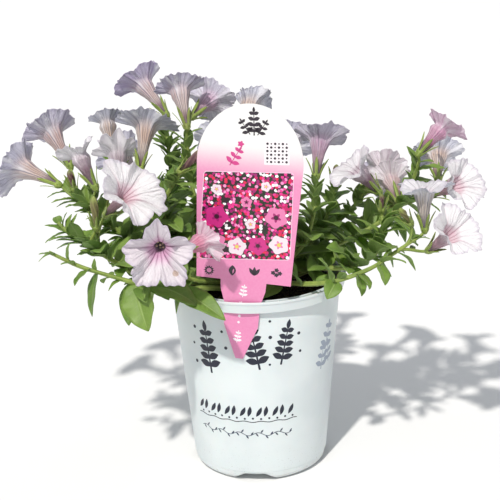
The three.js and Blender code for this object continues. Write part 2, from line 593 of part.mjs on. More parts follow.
// The corolla: a ribbed tube that opens into a limb of five lobes, as a thin wall closed at its foot.
function bloom(flower) {
  const axis = heading(...flower.faces);
  const [u, w] = sideways(axis, flower.spin);
  const seat = V(...flower.seat);
  const ring = (share, radius, sides, lobed = 0, lift = 0) => Array.from({ length: sides }, (_, k) => {
    const a = (2 * Math.PI * k) / sides;
    const r = radius * mix(1, lobe(a), lobed);
    const wave = lobed * flower.limb * BLOOM.ruffle * Math.cos(5 * a);
    return seat.clone().addScaledVector(axis, share * flower.length + lift - wave)
      .addScaledVector(u, r * Math.cos(a)).addScaledVector(w, r * Math.sin(a));
  });
  const { wall, tubeSides, limbSides } = BLOOM;
  const [[s0, r0], [s1, r1]] = TUBE_RINGS;
  const [[s2, r2], [s3, r3]] = LIMB_RINGS.map(([s, r]) => [s, r * flower.limb]);
  const outside = [ring(s0, r0, tubeSides), ring(s1, r1, tubeSides), ring(s2, r2, limbSides)];
  const lip = [ring(s3, r3, limbSides, 1), ring(s3, r3, limbSides, 1, wall)];
  const inside = [ring(s2, r2 - wall, limbSides, 0, wall), ring(s1, r1 - 1.6 * wall, tubeSides, 0, wall)];
  return skin([...outside, ...lip, ...inside]);
}

function bud(flower) {
  const axis = heading(...flower.faces);
  const seat = V(...flower.seat);
  const at = (share) => seat.clone().addScaledVector(axis, share * flower.length);
  const r = flower.radius;
  return tube([0, 0.35, 0.7, 1].map(at), [0.5 * r, 0.75 * r, r, 0.25 * r], 7);
}

// ---------------------------------------------------------------- the assembly
const finish = (color, roughness) => new THREE.MeshStandardMaterial({ color, roughness, metalness: 0 });
const WHITE_PLASTIC = finish(0xe6ecec, 0.4);
const PEAT = finish(0x2a211a, 0.95);
const CARD = finish(0xf58fc6, 0.35);
const GREEN = finish(0x55802f, 0.6);
const PETAL = finish(0xe9e1ea, 0.6);
const BUD_SKIN = finish(0x6d4a55, 0.6);

const numbered = (kind, i) => `${kind}_${String(i + 1).padStart(2, "0")}`;
const petunia = new THREE.Group();
petunia.add(meshOf("pot", pot(), WHITE_PLASTIC), meshOf("soil", soil(), PEAT), meshOf("label", tag(), CARD));
placeLeaves().forEach((leaves, i) => petunia.add(meshOf(numbered("stem", i), leafyStem(i, leaves), GREEN)));
BLOOMS.forEach((flower, i) => petunia.add(meshOf(numbered("bloom", i), bloom(flower), PETAL)));
BUDS.forEach((flower, i) => petunia.add(meshOf(numbered("bud", i), bud(flower), BUD_SKIN)));

export default petunia;
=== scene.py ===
# The looks of a petunia in bloom in a white nursery pot with a stake label. Lengths are in millimetres, in
# the part's frame: +Z up, the origin on the ground under the pot, -Y towards the front. Meshes are written
# in metres. The tables, curves and leaf rule are the part's own, so each piece lies where its node does.
import math

import bpy
import numpy as np
from mathutils import Matrix, Vector


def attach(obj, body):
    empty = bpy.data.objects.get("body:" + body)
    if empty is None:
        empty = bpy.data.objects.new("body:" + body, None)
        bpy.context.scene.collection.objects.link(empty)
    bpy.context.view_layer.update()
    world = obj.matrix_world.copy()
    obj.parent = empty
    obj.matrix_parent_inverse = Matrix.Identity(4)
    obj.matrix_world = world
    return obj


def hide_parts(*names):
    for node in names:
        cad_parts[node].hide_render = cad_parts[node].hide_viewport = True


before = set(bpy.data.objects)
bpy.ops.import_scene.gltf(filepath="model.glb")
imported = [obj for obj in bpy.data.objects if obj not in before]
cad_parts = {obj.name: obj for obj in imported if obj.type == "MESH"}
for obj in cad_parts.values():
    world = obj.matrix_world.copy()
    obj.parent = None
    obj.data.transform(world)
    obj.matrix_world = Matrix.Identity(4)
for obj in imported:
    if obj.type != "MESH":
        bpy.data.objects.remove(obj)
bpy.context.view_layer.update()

MM, TAU, GAP = 0.001, 2 * math.pi, 0.3

# ---------------------------------------------------------------- the part's dimensions, in mm
POT_TOP_Z, POT_TOP_R, LINE_Z, LINE_R = 164, 70, 9, 56.2
PAD_TOP, CHANNEL_UNDER, CHANNEL_TOP = 2.2, 8, 10
NOTCH_ANGLE, NOTCH_BOTTOM, NOTCH_TOP, NOTCH_HEIGHT = -4, 40, 15, 7.2
BAND_SLOT, BAND_THICK, BAND_HEIGHT, BAND_HALF = 2.7, 1.2, 9.4, 52
BAND_MIDDLES, BAND_RIBS, RIB_WIDTH, RIB_DROP = (-4, 116, 236), (-50.9, 20, 50.9), 1.8, 0.6
SOIL_TOP, SOIL_CROWN, ROOT_DEPTH = 150, 3, 12
TAG_THICK, TAG_ANGLE, TAG_SLOT_Z, TAG_TURN, TAG_SHIFT = 0.6, -7.5, 160, 5.5, 46
TAG_TOP_HALF, TAG_HEIGHT = 39.8, 210
CALYX_CUP_LENGTH, CALYX_REACH, CALYX_SPREAD = 5, 13, 9
STEM_ROOT_R, STEM_TIP_R, STEM_RISE = 2.3, 1.4, 6
LEAF_FOLD, LEAF_SEED = math.radians(16), 829
TUBE_R, THROAT_R, FLARE_LIMB, LIMB_RUFFLE = 2.2, 5.4, 0.4, 0.07


# ---------------------------------------------------------------- vectors and curves
def unit(v):
    v = np.asarray(v, float)
    return v / np.linalg.norm(v)


def units(v):
    return v / np.linalg.norm(v, axis=-1, keepdims=True)


def heading(azimuth, elevation):
    a, e = math.radians(azimuth), math.radians(elevation)
    return np.array([math.sin(a) * math.cos(e), -math.cos(a) * math.cos(e), math.sin(e)])


def turned(v, axis, angle):
    c, s = math.cos(angle), math.sin(angle)
    return v * c + np.cross(axis, v) * s + axis * (axis @ v) * (1 - c)


def sideways(axis, spin=0.0):
    """Two unit vectors square to an axis, turned about it by a spin in degrees."""
    hint = np.array([0.0, 1, 0]) if abs(axis[2]) > 0.9 else np.array([0.0, 0, 1])
    side = turned(unit(np.cross(hint, axis)), axis, math.radians(spin))
    return side, np.cross(axis, side)


def mix(a, b, t):
    return a + (b - a) * t


def smooth(lo, hi, x):
    t = np.clip((np.asarray(x, float) - lo) / (hi - lo), 0, 1)
    return t * t * (3 - 2 * t)


class Spline:
    """A Catmull-Rom curve of tension 0.5 through points, with its ends carried on in a straight line."""

    def __init__(self, points):
        p = np.asarray(points, float)
        self.p = np.vstack([2 * p[0] - p[1], p, 2 * p[-1] - p[-2]])
        self.spans = len(p) - 1

    def at(self, t):
        x = min(max(t, 0.0), 1.0) * self.spans
        i = min(int(x), self.spans - 1)
        w = x - i
        a, b, c, d = self.p[i:i + 4]
        m, n = 0.5 * (c - a), 0.5 * (d - b)
        return b + m * w + (3 * (c - b) - 2 * m - n) * w * w + (2 * (b - c) + m + n) * w ** 3

    def tangent(self, t):
        return unit(self.at(min(t + 1e-4, 1.0)) - self.at(max(t - 1e-4, 0.0)))


class Bezier:
    def __init__(self, *points):
        self.p = points

    def at(self, t):
        a, b, c, d = self.p
        s = 1 - t
        return s ** 3 * a + 3 * s * s * t * b + 3 * s * t * t * c + t ** 3 * d


# ---------------------------------------------------------------- the part's tables
def table(text):
    """Rows of numbers, one to a line or parted by semicolons."""
    rows = text.replace("\n", ";").split(";")
    return [[float(x) if "." in x else int(x) for x in row.split()] for row in rows if row.strip()]


def flower_table(text, open_bloom):
    """Rows of seat, azimuth and elevation that it faces, length, radius, stem, share of the stem, spin."""
    return [(np.array(row[:3], float), heading(*row[3:5]), *row[5:], open_bloom) for row in table(text)]


# Each stem: its root, how many leaves, the share that they start from, first and last leaf length, its way.
STEMS = [(row[:2], *row[2:6], np.reshape(row[6:], (-1, 3))) for row in table("""
-17 -17 8 0.3 42 18 -38 -34 166 -62 -44 172 -84 -54 178 -106 -64 196 -122 -66 208 -138 -60 216 -150 -54 226
-12 -26 5 0.5 24 14 -34 -54 170 -58 -74 176 -82 -84 184 -106 -88 193 -130 -89 202 -152 -90 214
-26 -5 7 0.18 40 18 -52 -14 172 -84 -20 190 -112 -24 212 -134 -20 229 -150 -12 240
-9 -9 7 0.24 42 18 -36 -14 176 -62 -22 202 -70 -34 226 -64 -42 246 -55 -46 260
-13 9 6 0.2 42 18 -44 26 178 -66 44 210 -72 60 242 -74 70 268
-25 15 6 0.2 42 18 -56 30 174 -90 46 200 -108 54 222 -117 62 238
-4 2 6 0.2 40 18 -22 6 178 -42 8 208 -52 14 242 -53 19 270
-3 -19 4 0.3 38 24 -18 -36 168 -40 -50 174 -60 -58 184 -70 -62 198
4 12 6 0.16 42 18 6 24 184 6 30 216 0 34 250
8 -8 7 0.2 42 18 24 -20 176 41 -27 198 49 -18 222 51 -8 236
16 4 6 0.22 42 18 34 3 174 48 3 190 60 6 210 65 8 232
14 15 6 0.2 42 18 42 22 178 68 22 198 83 18 214 89 10 226
20 -8 7 0.24 42 18 46 -24 173 76 -34 178 96 -32 188 102 -26 204 102 -21 216
10 -22 6 0.26 36 20 24 -42 168 44 -58 173 64 -66 178 90 -62 186 108 -52 194 124 -42 201
26 1 7 0.2 42 18 54 2 178 92 0 198 118 2 216 129 6 238 133 1 254
24 16 6 0.2 42 18 58 36 177 98 44 198 130 42 208 150 38 220
7 26 6 0.16 42 22 20 54 174 28 82 192 27 98 212
-6 24 5 0.16 42 22 -16 54 175 -24 86 194 -26 102 214
-20 26 6 0.16 42 22 -46 54 175 -78 80 194 -98 93 210
""")]
BLOOMS = flower_table("""
-157 -10 245 -108 22 39 25 3 0.97 10; -150 15 254 -138 47 40 24 3 0.88 40
-124 -28 248 -129 56 34 16 3 0.74 5; -122 70 250 -160 61 34 16 6 1 30; -91 8 252 166 58 45 25 4 0.52 0
-75 72 282 -130 42 43 23 5 1 20; -53 18 284 -161 55 39 22 7 1 50; -49 36 287 152 15 36 22 7 0.85 15
-112 -50 231 54 42 39 28 1 0.62 25; -68 -80 222 3 -2 40 28 8 1 0; -53 -106 216 126 16 28 16 8 0.84 30
-111 24 232 -176 55 36 21 6 0.8 60; -8 40 272 168 35 40 23 9 1 0; 51 0 245 169 56 37 24 10 1 20
99 -12 234 -79 48 32 20 12 0.97 0; 103 46 219 165 23 34 20 16 0.62 35; 117 7 221 -168 26 30 18 15 0.5 10
134 0 262 117 42 32 14 15 1 10; 153 42 228 176 29 34 22 16 1 25; 134 -38 211 -152 84 36 23 14 1 5
146 6 225 47 28 34 22 15 0.72 45; 138 -42 194 42 38 36 22 14 0.86 15; 24 108 222 168 28 40 24 17 1 0
-26 112 226 -170 26 40 25 18 1 20; -104 98 220 -145 24 40 24 19 1 40; 88 84 200 140 20 38 24 16 0.5 10
""", True)
BUDS = flower_table("""
-53 -47 264 70 40 25 3.4 4 1 0; -119 -65 226 0 84 24 3 1 0.72 0; 90 12 236 -70 56 22 3.6 12 1 0
122 -40 216 -50 50 17 2.6 14 0.93 0; -142 -18 244 -40 76 15 2.4 3 0.86 0; 102 -20 222 0 80 12 2 13 1 30
65 8 238 40 74 14 2.2 11 1 0
""", False)
# Leaves given one by one, over the rim as in the part, and then further broad ones that show in the
# photograph:
# stem, share of it, azimuth and elevation, length, width, bend.
RIM_LEAVES = table("""
2 0.34 46 -2 44 22 34; 2 0.48 66 2 42 25 40; 2 0.55 14 -40 40 27 30; 2 0.74 -30 -58 34 14 20
13 0.42 -40 56 36 24 40; 13 0.6 26 40 36 23 36; 10 0.5 14 40 38 24 44; 15 0.34 16 40 42 25 44
11 0.62 30 34 34 21 36; 14 0.5 -24 -22 28 22 34; 14 0.6 44 -10 32 19 34; 14 0.72 30 -36 30 22 24
""")
BROAD_LEAVES = table("""
13 0.56 -156 28 34 15 28; 13 0.5 -48 41 19 9 28; 12 0.42 48 -37 39 17 28; 10 0.36 96 15 39 14 28
13 0.76 -120 41 25 10 28; 13 0.7 -132 15 26 13 28; 12 0.5 36 -11 28 17 28; 13 0.36 -168 28 32 16 28
11 0.5 132 2 23 13 28; 4 0.36 -180 28 32 18 28; 4 0.56 144 15 24 13 28; 1 0.48 -144 67 32 14 28
7 0.3 -132 15 39 23 28; 3 0.42 -96 54 34 17 28; 10 0.22 0 28 30 17 28; 11 0.2 24 2 22 12 28
13 0.2 12 2 27 15 28; 14 0.12 -36 2 27 16 28; 10 0.12 -24 15 25 15 28
""")
# How some leaves differ from the part's: by stem and place, shares of the length and width.
TRIMMED = {(14, 0): (0.64, 0.68), (14, 1): (0.56, 0.66), (14, 2): (0.62, 0.72), (14, 5): (0.5, 0.6),
           (13, 4): (0.75, 0.8), (2, 0): (1.16, 0.84)}

curves = [Spline([(x, y, SOIL_TOP + STEM_RISE), *way]) for (x, y), _, _, _, _, way in STEMS]
flowers = BLOOMS + BUDS


def stalk_route(seat, axis, _length, _radius, stem, at, *_rest):
    curve = curves[stem - 1]
    start, end = curve.at(at), seat - GAP * axis
    reach = 0.4 * np.linalg.norm(end - start)
    return Bezier(start, start + reach * curve.tangent(at),
                  end - max(reach, CALYX_CUP_LENGTH + 1) * axis, end)


stalks = [stalk_route(*flower) for flower in flowers]


# ---------------------------------------------------------------- the label's frame
taper = math.atan2(POT_TOP_R - LINE_R, POT_TOP_Z - LINE_Z)


def wall_radius(z):
    return LINE_R + (z - LINE_Z) * math.tan(taper)


def tag_frame():
    out, up = heading(TAG_ANGLE, 0), np.array([0.0, 0, 1])
    face = out * math.cos(taper) - up * math.sin(taper)
    rise = up * math.cos(taper) + out * math.sin(taper)
    right = unit(np.cross(up, out))
    turn = math.radians(-TAG_TURN)
    right, rise = turned(right, face, turn), turned(rise, face, turn)
    seat = out * (wall_radius(TAG_SLOT_Z) + (GAP + TAG_THICK / 2) / math.cos(taper))
    seat[2] = TAG_SLOT_Z
    return seat - TAG_SHIFT * rise, right, face, rise


tag_tip, tag_right, tag_face, tag_rise = tag_frame()


# ---------------------------------------------------------------- the leaf rule
class Draw:
    """A seeded draw from 0 to 1: a 32-bit linear congruential generator."""

    def __init__(self, seed):
        self.state = seed & 0xFFFFFFFF

    def __call__(self, low=0.0, high=1.0):
        self.state = (self.state * 1664525 + 1013904223) & 0xFFFFFFFF
        return low + (high - low) * self.state / 4294967296


class Claims:
    """Round samples of what already stands: a point, a radius and the stem that owns it."""

    def __init__(self):
        self.rows, self.table = [], None

    def add(self, points, radius, owner):
        self.rows += [(*p, radius, owner) for p in np.atleast_2d(points)]
        self.table = None

    def clear(self, points, owner, reach, ease):
        """Whether every point stands off all claims but the owner's; ease brings stems and leaves closer."""
        if self.table is None:
            self.table = np.array(self.rows)
        t = self.table[self.table[:, 4] != owner]
        t = t[np.linalg.norm(t[:, :3] - points[0], axis=1) < 70]
        far = np.linalg.norm(points[:, None, :] - t[None, :, :3], axis=2)
        return bool((far > (reach + t[:, 3]) * np.where(t[:, 4] == 0, max(ease, 0.85), ease)).all())


claims = Claims()


def claim_stems_and_flowers():
    for i, curve in enumerate(curves):
        claims.add([curve.at(k / 30) for k in range(31)], 2.6, i + 1)
    for (seat, axis, length, limb, stem, _, _, open_bloom), route in zip(flowers, stalks):
        claims.add([route.at(k / 12) for k in range(1, 13)], 2.6, stem)
        for share, radius in ((0.12, 6.5), (0.3, 6), (0.55, 7), (0.8, 11) if open_bloom else (0.85, 4)):
            claims.add(seat + share * length * axis, radius, 0)
        u, w = sideways(axis)
        for share, n, lift in ((0.6, 8, 0.9), (0.95, 14, 0.97)) if open_bloom else ():
            for k in range(n):
                a, r = TAU * k / n, share * limb
                claims.add(seat + lift * length * axis + u * r * math.cos(a) + w * r * math.sin(a), 6, 0)


def leaf_shape(s):
    return 2.79 * s ** 0.9 * (1 - s) ** 0.62


class Leaf:
    """A blade: its foot on a shoot, the way it sets out, its sizes and its bend in degrees."""

    def __init__(self, foot, along, out, length, width, bend):
        face = 0.5 * along + np.array([0, 0, 0.85])
        self.foot, self.out, self.face = foot, out, unit(face - out * (face @ out))
        self.across = np.cross(self.out, self.face)
        self.length, self.width, self.bend = length, width, math.radians(bend)

    def point(self, s, q, lift=0.0):
        """The points at a share s of the length and q from edge to edge, lifted off the blade."""
        s, q = np.broadcast_arrays(np.asarray(s, float), np.asarray(q, float))
        turn = self.bend * s
        run, drop = self.length * np.sin(turn) / self.bend, self.length * (1 - np.cos(turn)) / self.bend
        half = self.width / 2 * np.maximum(leaf_shape(s), 0.1 * (1 - s))
        rise = half * abs(q) * math.sin(LEAF_FOLD) + lift
        return (self.foot + (run + rise * np.sin(turn))[..., None] * self.out
                + (rise * np.cos(turn) - drop)[..., None] * self.face
                + (q * half * math.cos(LEAF_FOLD))[..., None] * self.across)

    def samples(self):
        s, q = np.meshgrid(np.arange(2, 11) / 10, (-1, -0.5, 0, 0.5, 1), indexing="ij")
        return self.point(s, q).reshape(-1, 3)


def clear_of_pot_and_tag(points, above):
    out = np.hypot(points[:, 0], points[:, 1])
    inside = points[:, 2] > SOIL_TOP + SOIL_CROWN + above
    outside = (points[:, 2] > POT_TOP_Z + above + 0.5) | (out > POT_TOP_R + BAND_SLOT + BAND_THICK + above)
    d = points - tag_tip
    x, y, z = d @ tag_right, d @ tag_face, d @ tag_rise
    free = (abs(y) > above + 1) | (abs(x) > TAG_TOP_HALF + above) | (z > TAG_HEIGHT + above) | (z < -above)
    return bool((np.where(out < POT_TOP_R - 6, inside, outside) & free).all())


# Turns and sizes that a leaf tries until it stands clear.
TRIES = ((0, 1), (35, 1), (-35, 1), (70, 0.9), (-70, 0.9), (110, 0.85), (-110, 0.85), (150, 0.75),
         (0, 0.65), (45, 0.6), (-45, 0.6), (90, 0.55), (-90, 0.55))
SMALL_TRIES = ((0, 1), (60, 1), (-60, 1), (120, 1), (-120, 1), (180, 1))
# The room a leaf needs: off the pot and label, off claims, the share of that which counts, and its own claim.
RULE_ROOM, EXTRA_ROOM, SMALL_ROOM = (3.0, 2.5, 1.0, 2.5), (1.5, 1.6, 0.34, 1.5), (1.5, 1.2, 0.26, 1.2)
UPWARD = np.array([0, 0, 0.55])
# By stem: how many further and small leaves, and the share by which small ones are larger.
EXTRA_SEED, EXTRA_LEAVES, EXTRA_DEFAULT = 4711, {
    1: 20, 2: 6, 8: 12, 14: 0, 15: 15, 16: 15, 10: 16, 11: 14, 12: 14, 13: 12}, 28
SMALL_SEED, SMALL_LEAVES, SMALL_DEFAULT = 977, {
    1: 46, 2: 4, 3: 70, 4: 28, 6: 44, 14: 3, 10: 8, 11: 8, 12: 8, 13: 8, 15: 10, 16: 8}, 16
LARGER = {1: 1.15, 3: 1.3, 6: 1.25}


def set_leaves(leaves, rows, claim):
    for stem, at, azimuth, elevation, length, width, bend in rows:
        curve = curves[stem - 1]
        leaf = Leaf(curve.at(at), curve.tangent(at), heading(azimuth, elevation), length, width, bend)
        leaves[stem - 1].append(leaf)
        claims.add(leaf.samples(), claim, stem)


def grow(leaves, i, at, length, width, spin, lean, bend, tries, room, up=0.0):
    """Adds a leaf to a stem at the first try that stands clear. Angles are in degrees."""
    above, reach, ease, claim = room
    along, lean = curves[i].tangent(at), math.radians(lean)
    owner = i + 1 if room is RULE_ROOM else -1
    for turn, shrink in tries:
        out = unit(along * math.cos(lean) + sideways(along, spin + turn)[0] * math.sin(lean) + up)
        leaf = Leaf(curves[i].at(at), along, out, length * shrink, width * shrink, bend)
        points = leaf.samples()
        if clear_of_pot_and_tag(points, above) and claims.clear(points, owner, reach, ease):
            leaves[i].append(leaf)
            claims.add(points, claim, i + 1)
            return


def place_leaves():
    """Every stem's leaves: the part's, listed and by rule, then more, closer than its solids can stand."""
    leaves = [[] for _ in STEMS]
    set_leaves(leaves, RIM_LEAVES, RULE_ROOM[3])
    for i, (_, count, start, big, tip, _) in enumerate(STEMS):
        draw = Draw(LEAF_SEED + 17 * i)
        for k in range(count):
            share = k / (count - 1)
            length = mix(big, tip, share) * mix(0.9, 1.12, draw())
            spin, lean = k * 137.5 + 360 * draw(), mix(66, 40, share) + 10 * draw()
            bend = mix(50, 26, share) * mix(0.7, 1.2, draw())
            width = length * mix(0.6, 0.4, share)
            grow(leaves, i, mix(start, 0.985, share ** 0.8), length, width, spin, lean, bend, TRIES, RULE_ROOM)
    for (stem, k), (longer, wider) in TRIMMED.items():
        leaves[stem - 1][k].length *= longer
        leaves[stem - 1][k].width *= wider
    set_leaves(leaves, BROAD_LEAVES, EXTRA_ROOM[3])
    for i, (_, _, _, big, tip, _) in enumerate(STEMS):
        draw, count = Draw(EXTRA_SEED + 31 * i), EXTRA_LEAVES.get(i + 1, EXTRA_DEFAULT)
        for k in range(count):
            share = (k + draw(0, 0.7)) / count
            length = mix(0.98 * big, 0.95 * tip, share) * draw(0.66, 1.1)
            spin, lean = k * 137.5 + draw(0, 200), mix(70, 42, share) + draw(-8, 12)
            bend = mix(56, 26, share) * draw(0.6, 1.3)
            grow(leaves, i, mix(0.1, 0.97, share), length, length * mix(0.62, 0.48, share), spin, lean, bend,
                 TRIES[:9], EXTRA_ROOM, UPWARD * share)
    for i in range(len(STEMS)):
        draw = Draw(SMALL_SEED + 13 * i)
        for k in range(SMALL_LEAVES.get(i + 1, SMALL_DEFAULT)):
            at, length = draw(0.3, 0.98), draw(10, 19) * LARGER.get(i + 1, 1)
            grow(leaves, i, at, length, length * draw(0.42, 0.56), draw(0, 360), draw(24, 52), draw(14, 46),
                 SMALL_TRIES, SMALL_ROOM, UPWARD)
    return leaves


# ---------------------------------------------------------------- shaders
def colour(code):
    """A linear colour from an sRGB hex code."""
    parts = [int(code[i:i + 2], 16) / 255 for i in (1, 3, 5)]
    return (*(c / 12.92 if c <= 0.04045 else ((c + 0.055) / 1.055) ** 2.4 for c in parts), 1.0)


class Shader:
    """A material's node tree. An input is a socket, a number, a vector or a hex colour."""

    def __init__(self, name):
        self.material = bpy.data.materials.new(name)
        self.material.use_nodes = True
        self.tree = self.material.node_tree
        self.tree.nodes.clear()

    def node(self, kind, inputs=(), **settings):
        node = self.tree.nodes.new("ShaderNode" + kind)
        for key, value in settings.items():
            setattr(node, key, value)
        for key, value in dict(inputs).items():
            if isinstance(value, bpy.types.NodeSocket):
                self.tree.links.new(value, node.inputs[key])
            else:
                node.inputs[key].default_value = colour(value) if isinstance(value, str) else value
        return node

    def math(self, operation, *values):
        return self.node("Math", enumerate(values), operation=operation).outputs[0]

    def times(self, a, b):
        return self.math("MULTIPLY", a, b)

    def plus(self, a, b):
        return self.math("ADD", a, b)

    def most(self, a, b):
        return self.math("MAXIMUM", a, b)

    def span(self, value, low, high, to_low=0.0, to_high=1.0):
        """A value brought smoothly from one range to another and held inside it."""
        return self.node("MapRange", {0: value, 1: low, 2: high, 3: to_low, 4: to_high},
                         interpolation_type="SMOOTHSTEP").outputs[0]

    def coats(self, tone, *coats):
        """A colour with coats of (share, colour) over it, each on the last."""
        for share, code in coats:
            tone = self.node("Mix", {0: share, 6: tone, 7: code}, data_type="RGBA").outputs[2]
        return tone

    def place(self):
        """The point in the part's frame, in metres."""
        return self.node("TexCoord").outputs["Object"]

    def axis(self, vector, index):
        return self.node("SeparateXYZ", {0: vector}).outputs[index]

    def along(self, direction, origin=(0, 0, 0)):
        """How far the point lies from an origin along a direction, in mm."""
        dot = self.node("VectorMath", {0: self.place(), 1: tuple(direction)}, operation="DOT_PRODUCT")
        return self.math("MULTIPLY_ADD", dot.outputs["Value"], 1000.0, -float(np.dot(direction, origin)))

    def grid(self, name="grid"):
        """The two coordinates over a blade or petal."""
        uv = self.node("UVMap", uv_map=name).outputs[0]
        return self.axis(uv, 0), self.axis(uv, 1)

    def noise(self, scale, detail=3.0, vector=None, rough=0.5):
        return self.node("TexNoise", {"Vector": vector or self.place(), "Scale": scale, "Detail": detail,
                                      "Roughness": rough}).outputs[0]

    def cells(self, scale, vector=None, **settings):
        return self.node("TexVoronoi", {"Vector": vector or self.place(), "Scale": scale}, **settings).outputs

    def drift(self, scale, detail, reach):
        """A small wander to both sides of nought."""
        return self.times(self.math("SUBTRACT", self.noise(scale, detail), 0.5), reach)

    def lines(self, value, count, sharp):
        """Lines where value times count is whole: 1 on each line, falling to 0 beside it."""
        wave = self.math("COSINE", self.times(value, TAU * count))
        return self.math("POWER", self.math("MULTIPLY_ADD", wave, 0.5, 0.5), sharp)

    def bump(self, height, distance, strength):
        return self.node("Bump", {"Height": height, "Distance": distance, "Strength": strength}).outputs[0]

    def finish(self, base, rough, normal=None, thin=None, thin_share=0.0, **inputs):
        """A Principled surface. thin is the colour of light that passes through it, thin_share its share."""
        bent = {} if normal is None else {"Normal": normal}
        named = {key.replace("_", " "): value for key, value in inputs.items()}
        values = {"Base Color": base, "Roughness": rough, **named, **bent}
        surface = self.node("BsdfPrincipled", values).outputs[0]
        if thin is not None:
            through = self.node("BsdfTranslucent", {"Color": thin, **bent}).outputs[0]
            surface = self.node("MixShader", {0: thin_share, 1: surface, 2: through}).outputs[0]
        self.node("OutputMaterial", {"Surface": surface})
        return self.material


def pot_plastic():
    s = Shader("pot_plastic")
    z = s.along((0, 0, 1))
    cloud = s.noise(22)
    grime = s.times(s.span(s.noise(900, 2), 0.66, 0.74), s.span(z, 46, 4))
    foot = s.times(s.span(z, 11, 1), s.span(s.noise(120, 4), 0.35, 0.75))
    base = s.coats("#C9D1D3", (s.span(cloud, 0.3, 0.7), "#D3DADB"), (s.times(grime, 0.55), "#6B5A48"),
                   (s.times(foot, 0.35), "#A79E92"))
    height = s.plus(s.noise(260, 2), s.times(s.noise(2600, 2), 0.25))
    return s.finish(base, s.span(cloud, 0.2, 0.8, 0.34, 0.44), s.bump(height, 0.00006, 0.5),
                    Subsurface_Weight=0.06, Subsurface_Scale=0.004)


def ink(name, code, rough=0.38):
    s = Shader(name)
    worn = s.span(s.noise(1500, 2), 0.2, 0.45)
    faded = (*(min(1.0, c + 0.03) for c in colour(code)[:3]), 1.0)
    return s.finish(s.coats(faded, (worn, code)), s.span(worn, 0, 1, rough + 0.1, rough))


def inks(name, rough, *codes):
    return [ink("%s_%d" % (name, n), code, rough) for n, code in enumerate(codes)]


def potting_mix(name="potting_mix", dark="#17120E", light="#4A3A2C"):
    s = Shader(name)
    tone = s.coats(dark, (s.span(s.noise(180, 5, rough=0.7), 0.35, 0.72), light),
                   (s.span(s.noise(700, 2), 0.64, 0.7), "#7A6549"))
    height = s.plus(s.noise(420, 5, rough=0.7), s.times(s.cells(420)[0], 0.6))
    return s.finish(tone, 0.92, s.bump(height, 0.0011, 0.9))


def label_card():
    """Printed card: near white at the top of the arch, pink below."""
    s = Shader("label_card")
    y = s.along(tag_rise, tag_tip)
    fibre = s.noise(600)
    base = s.coats("#D77FAB", (s.span(y, 10, 150), "#DD88B2"), (s.span(y, 150, 182), "#E4E4E2"),
                   (s.span(fibre, 0.3, 0.7, 0, 0.05), "#F4F0F2"))
    return s.finish(base, s.span(fibre, 0.2, 0.8, 0.3, 0.4), s.bump(s.noise(60, 2), 0.00015, 0.5))


# A printed dot's colours, each from its share of the dots on.
DOTS = ((0, "#C01763"), (0.22, "#E0308A"), (0.4, "#F28DC0"), (0.55, "#FFFFFF"), (0.68, "#D61F4C"),
        (0.82, "#9C1B6C"))


def panel_print():
    """A generic bed of small bright dots on dark green, as a printed picture panel."""
    s = Shader("label_panel_print")
    flat = s.node("CombineXYZ", {0: s.along(tag_right, tag_tip), 1: s.along(tag_rise, tag_tip)}).outputs[0]
    small = s.cells(0.42, flat, voronoi_dimensions="2D")
    fine = s.cells(1.1, flat, voronoi_dimensions="2D")
    hue = s.node("ValToRGB", {0: s.axis(small[1], 0)})
    ramp = hue.color_ramp
    ramp.interpolation = "CONSTANT"
    while len(ramp.elements) < len(DOTS):
        ramp.elements.new(0.5)
    for element, (where, code) in zip(ramp.elements, DOTS):
        element.position, element.color = where, colour(code)
    dot = s.times(s.span(small[0], 0.62, 0.46), s.span(s.axis(small[1], 1), 0.2, 0.24))
    tone = s.coats("#2E4A24", (s.span(fine[0], 0.1, 0.5), "#141D18"),
                   (s.span(s.noise(0.09, 2, flat), 0.45, 0.6), "#27151F"),
                   (dot, hue.outputs[0]))
    return s.finish(tone, 0.34)


def leaf_skin(name, base, dark, vein, thin, shine, thin_share):
    """A leaf's face. The grid's u runs from edge to edge, its v from the foot to the tip."""
    s = Shader(name)
    u, v = s.grid()
    tint, age = s.grid("tint")
    side = s.math("ABSOLUTE", s.math("MULTIPLY_ADD", u, 2, -1))
    slant = s.plus(s.math("SUBTRACT", v, s.times(side, 0.13)), 0.04)
    laterals = s.times(s.lines(slant, 6, 40), s.span(side, 0.9, 0.45))
    net = s.times(s.span(s.cells(900, feature="DISTANCE_TO_EDGE")[0], 0.1, 0.02), 0.16)
    veins = s.most(s.most(s.span(side, 0.09, 0.015), s.times(laterals, 0.3)), net)
    cloud = s.noise(70, 4)
    edge = s.times(s.span(side, 0.86, 1), s.span(s.noise(240, 2), 0.5, 0.8))
    tone = s.coats(dark, (s.span(cloud, 0.3, 0.7), base),
                   (s.span(s.noise(260, 4, rough=0.7), 0.5, 0.75, 0, 0.35), dark),
                   (s.times(tint, 0.55), "#94AB52"), (s.times(age, 0.5), "#2B4A20"),
                   (s.times(edge, 0.5), "#A0A850"), (s.times(veins, 0.5), vein))
    height = s.math("SUBTRACT", s.times(s.noise(2600, 1), 0.35), s.times(veins, 0.9))
    return s.finish(tone, s.span(cloud, 0.2, 0.8, shine, shine + 0.14), s.bump(height, 0.00035, 0.6), thin,
                    thin_share, Sheen_Weight=0.15, Sheen_Roughness=0.5, Sheen_Tint="#E8F0C8")


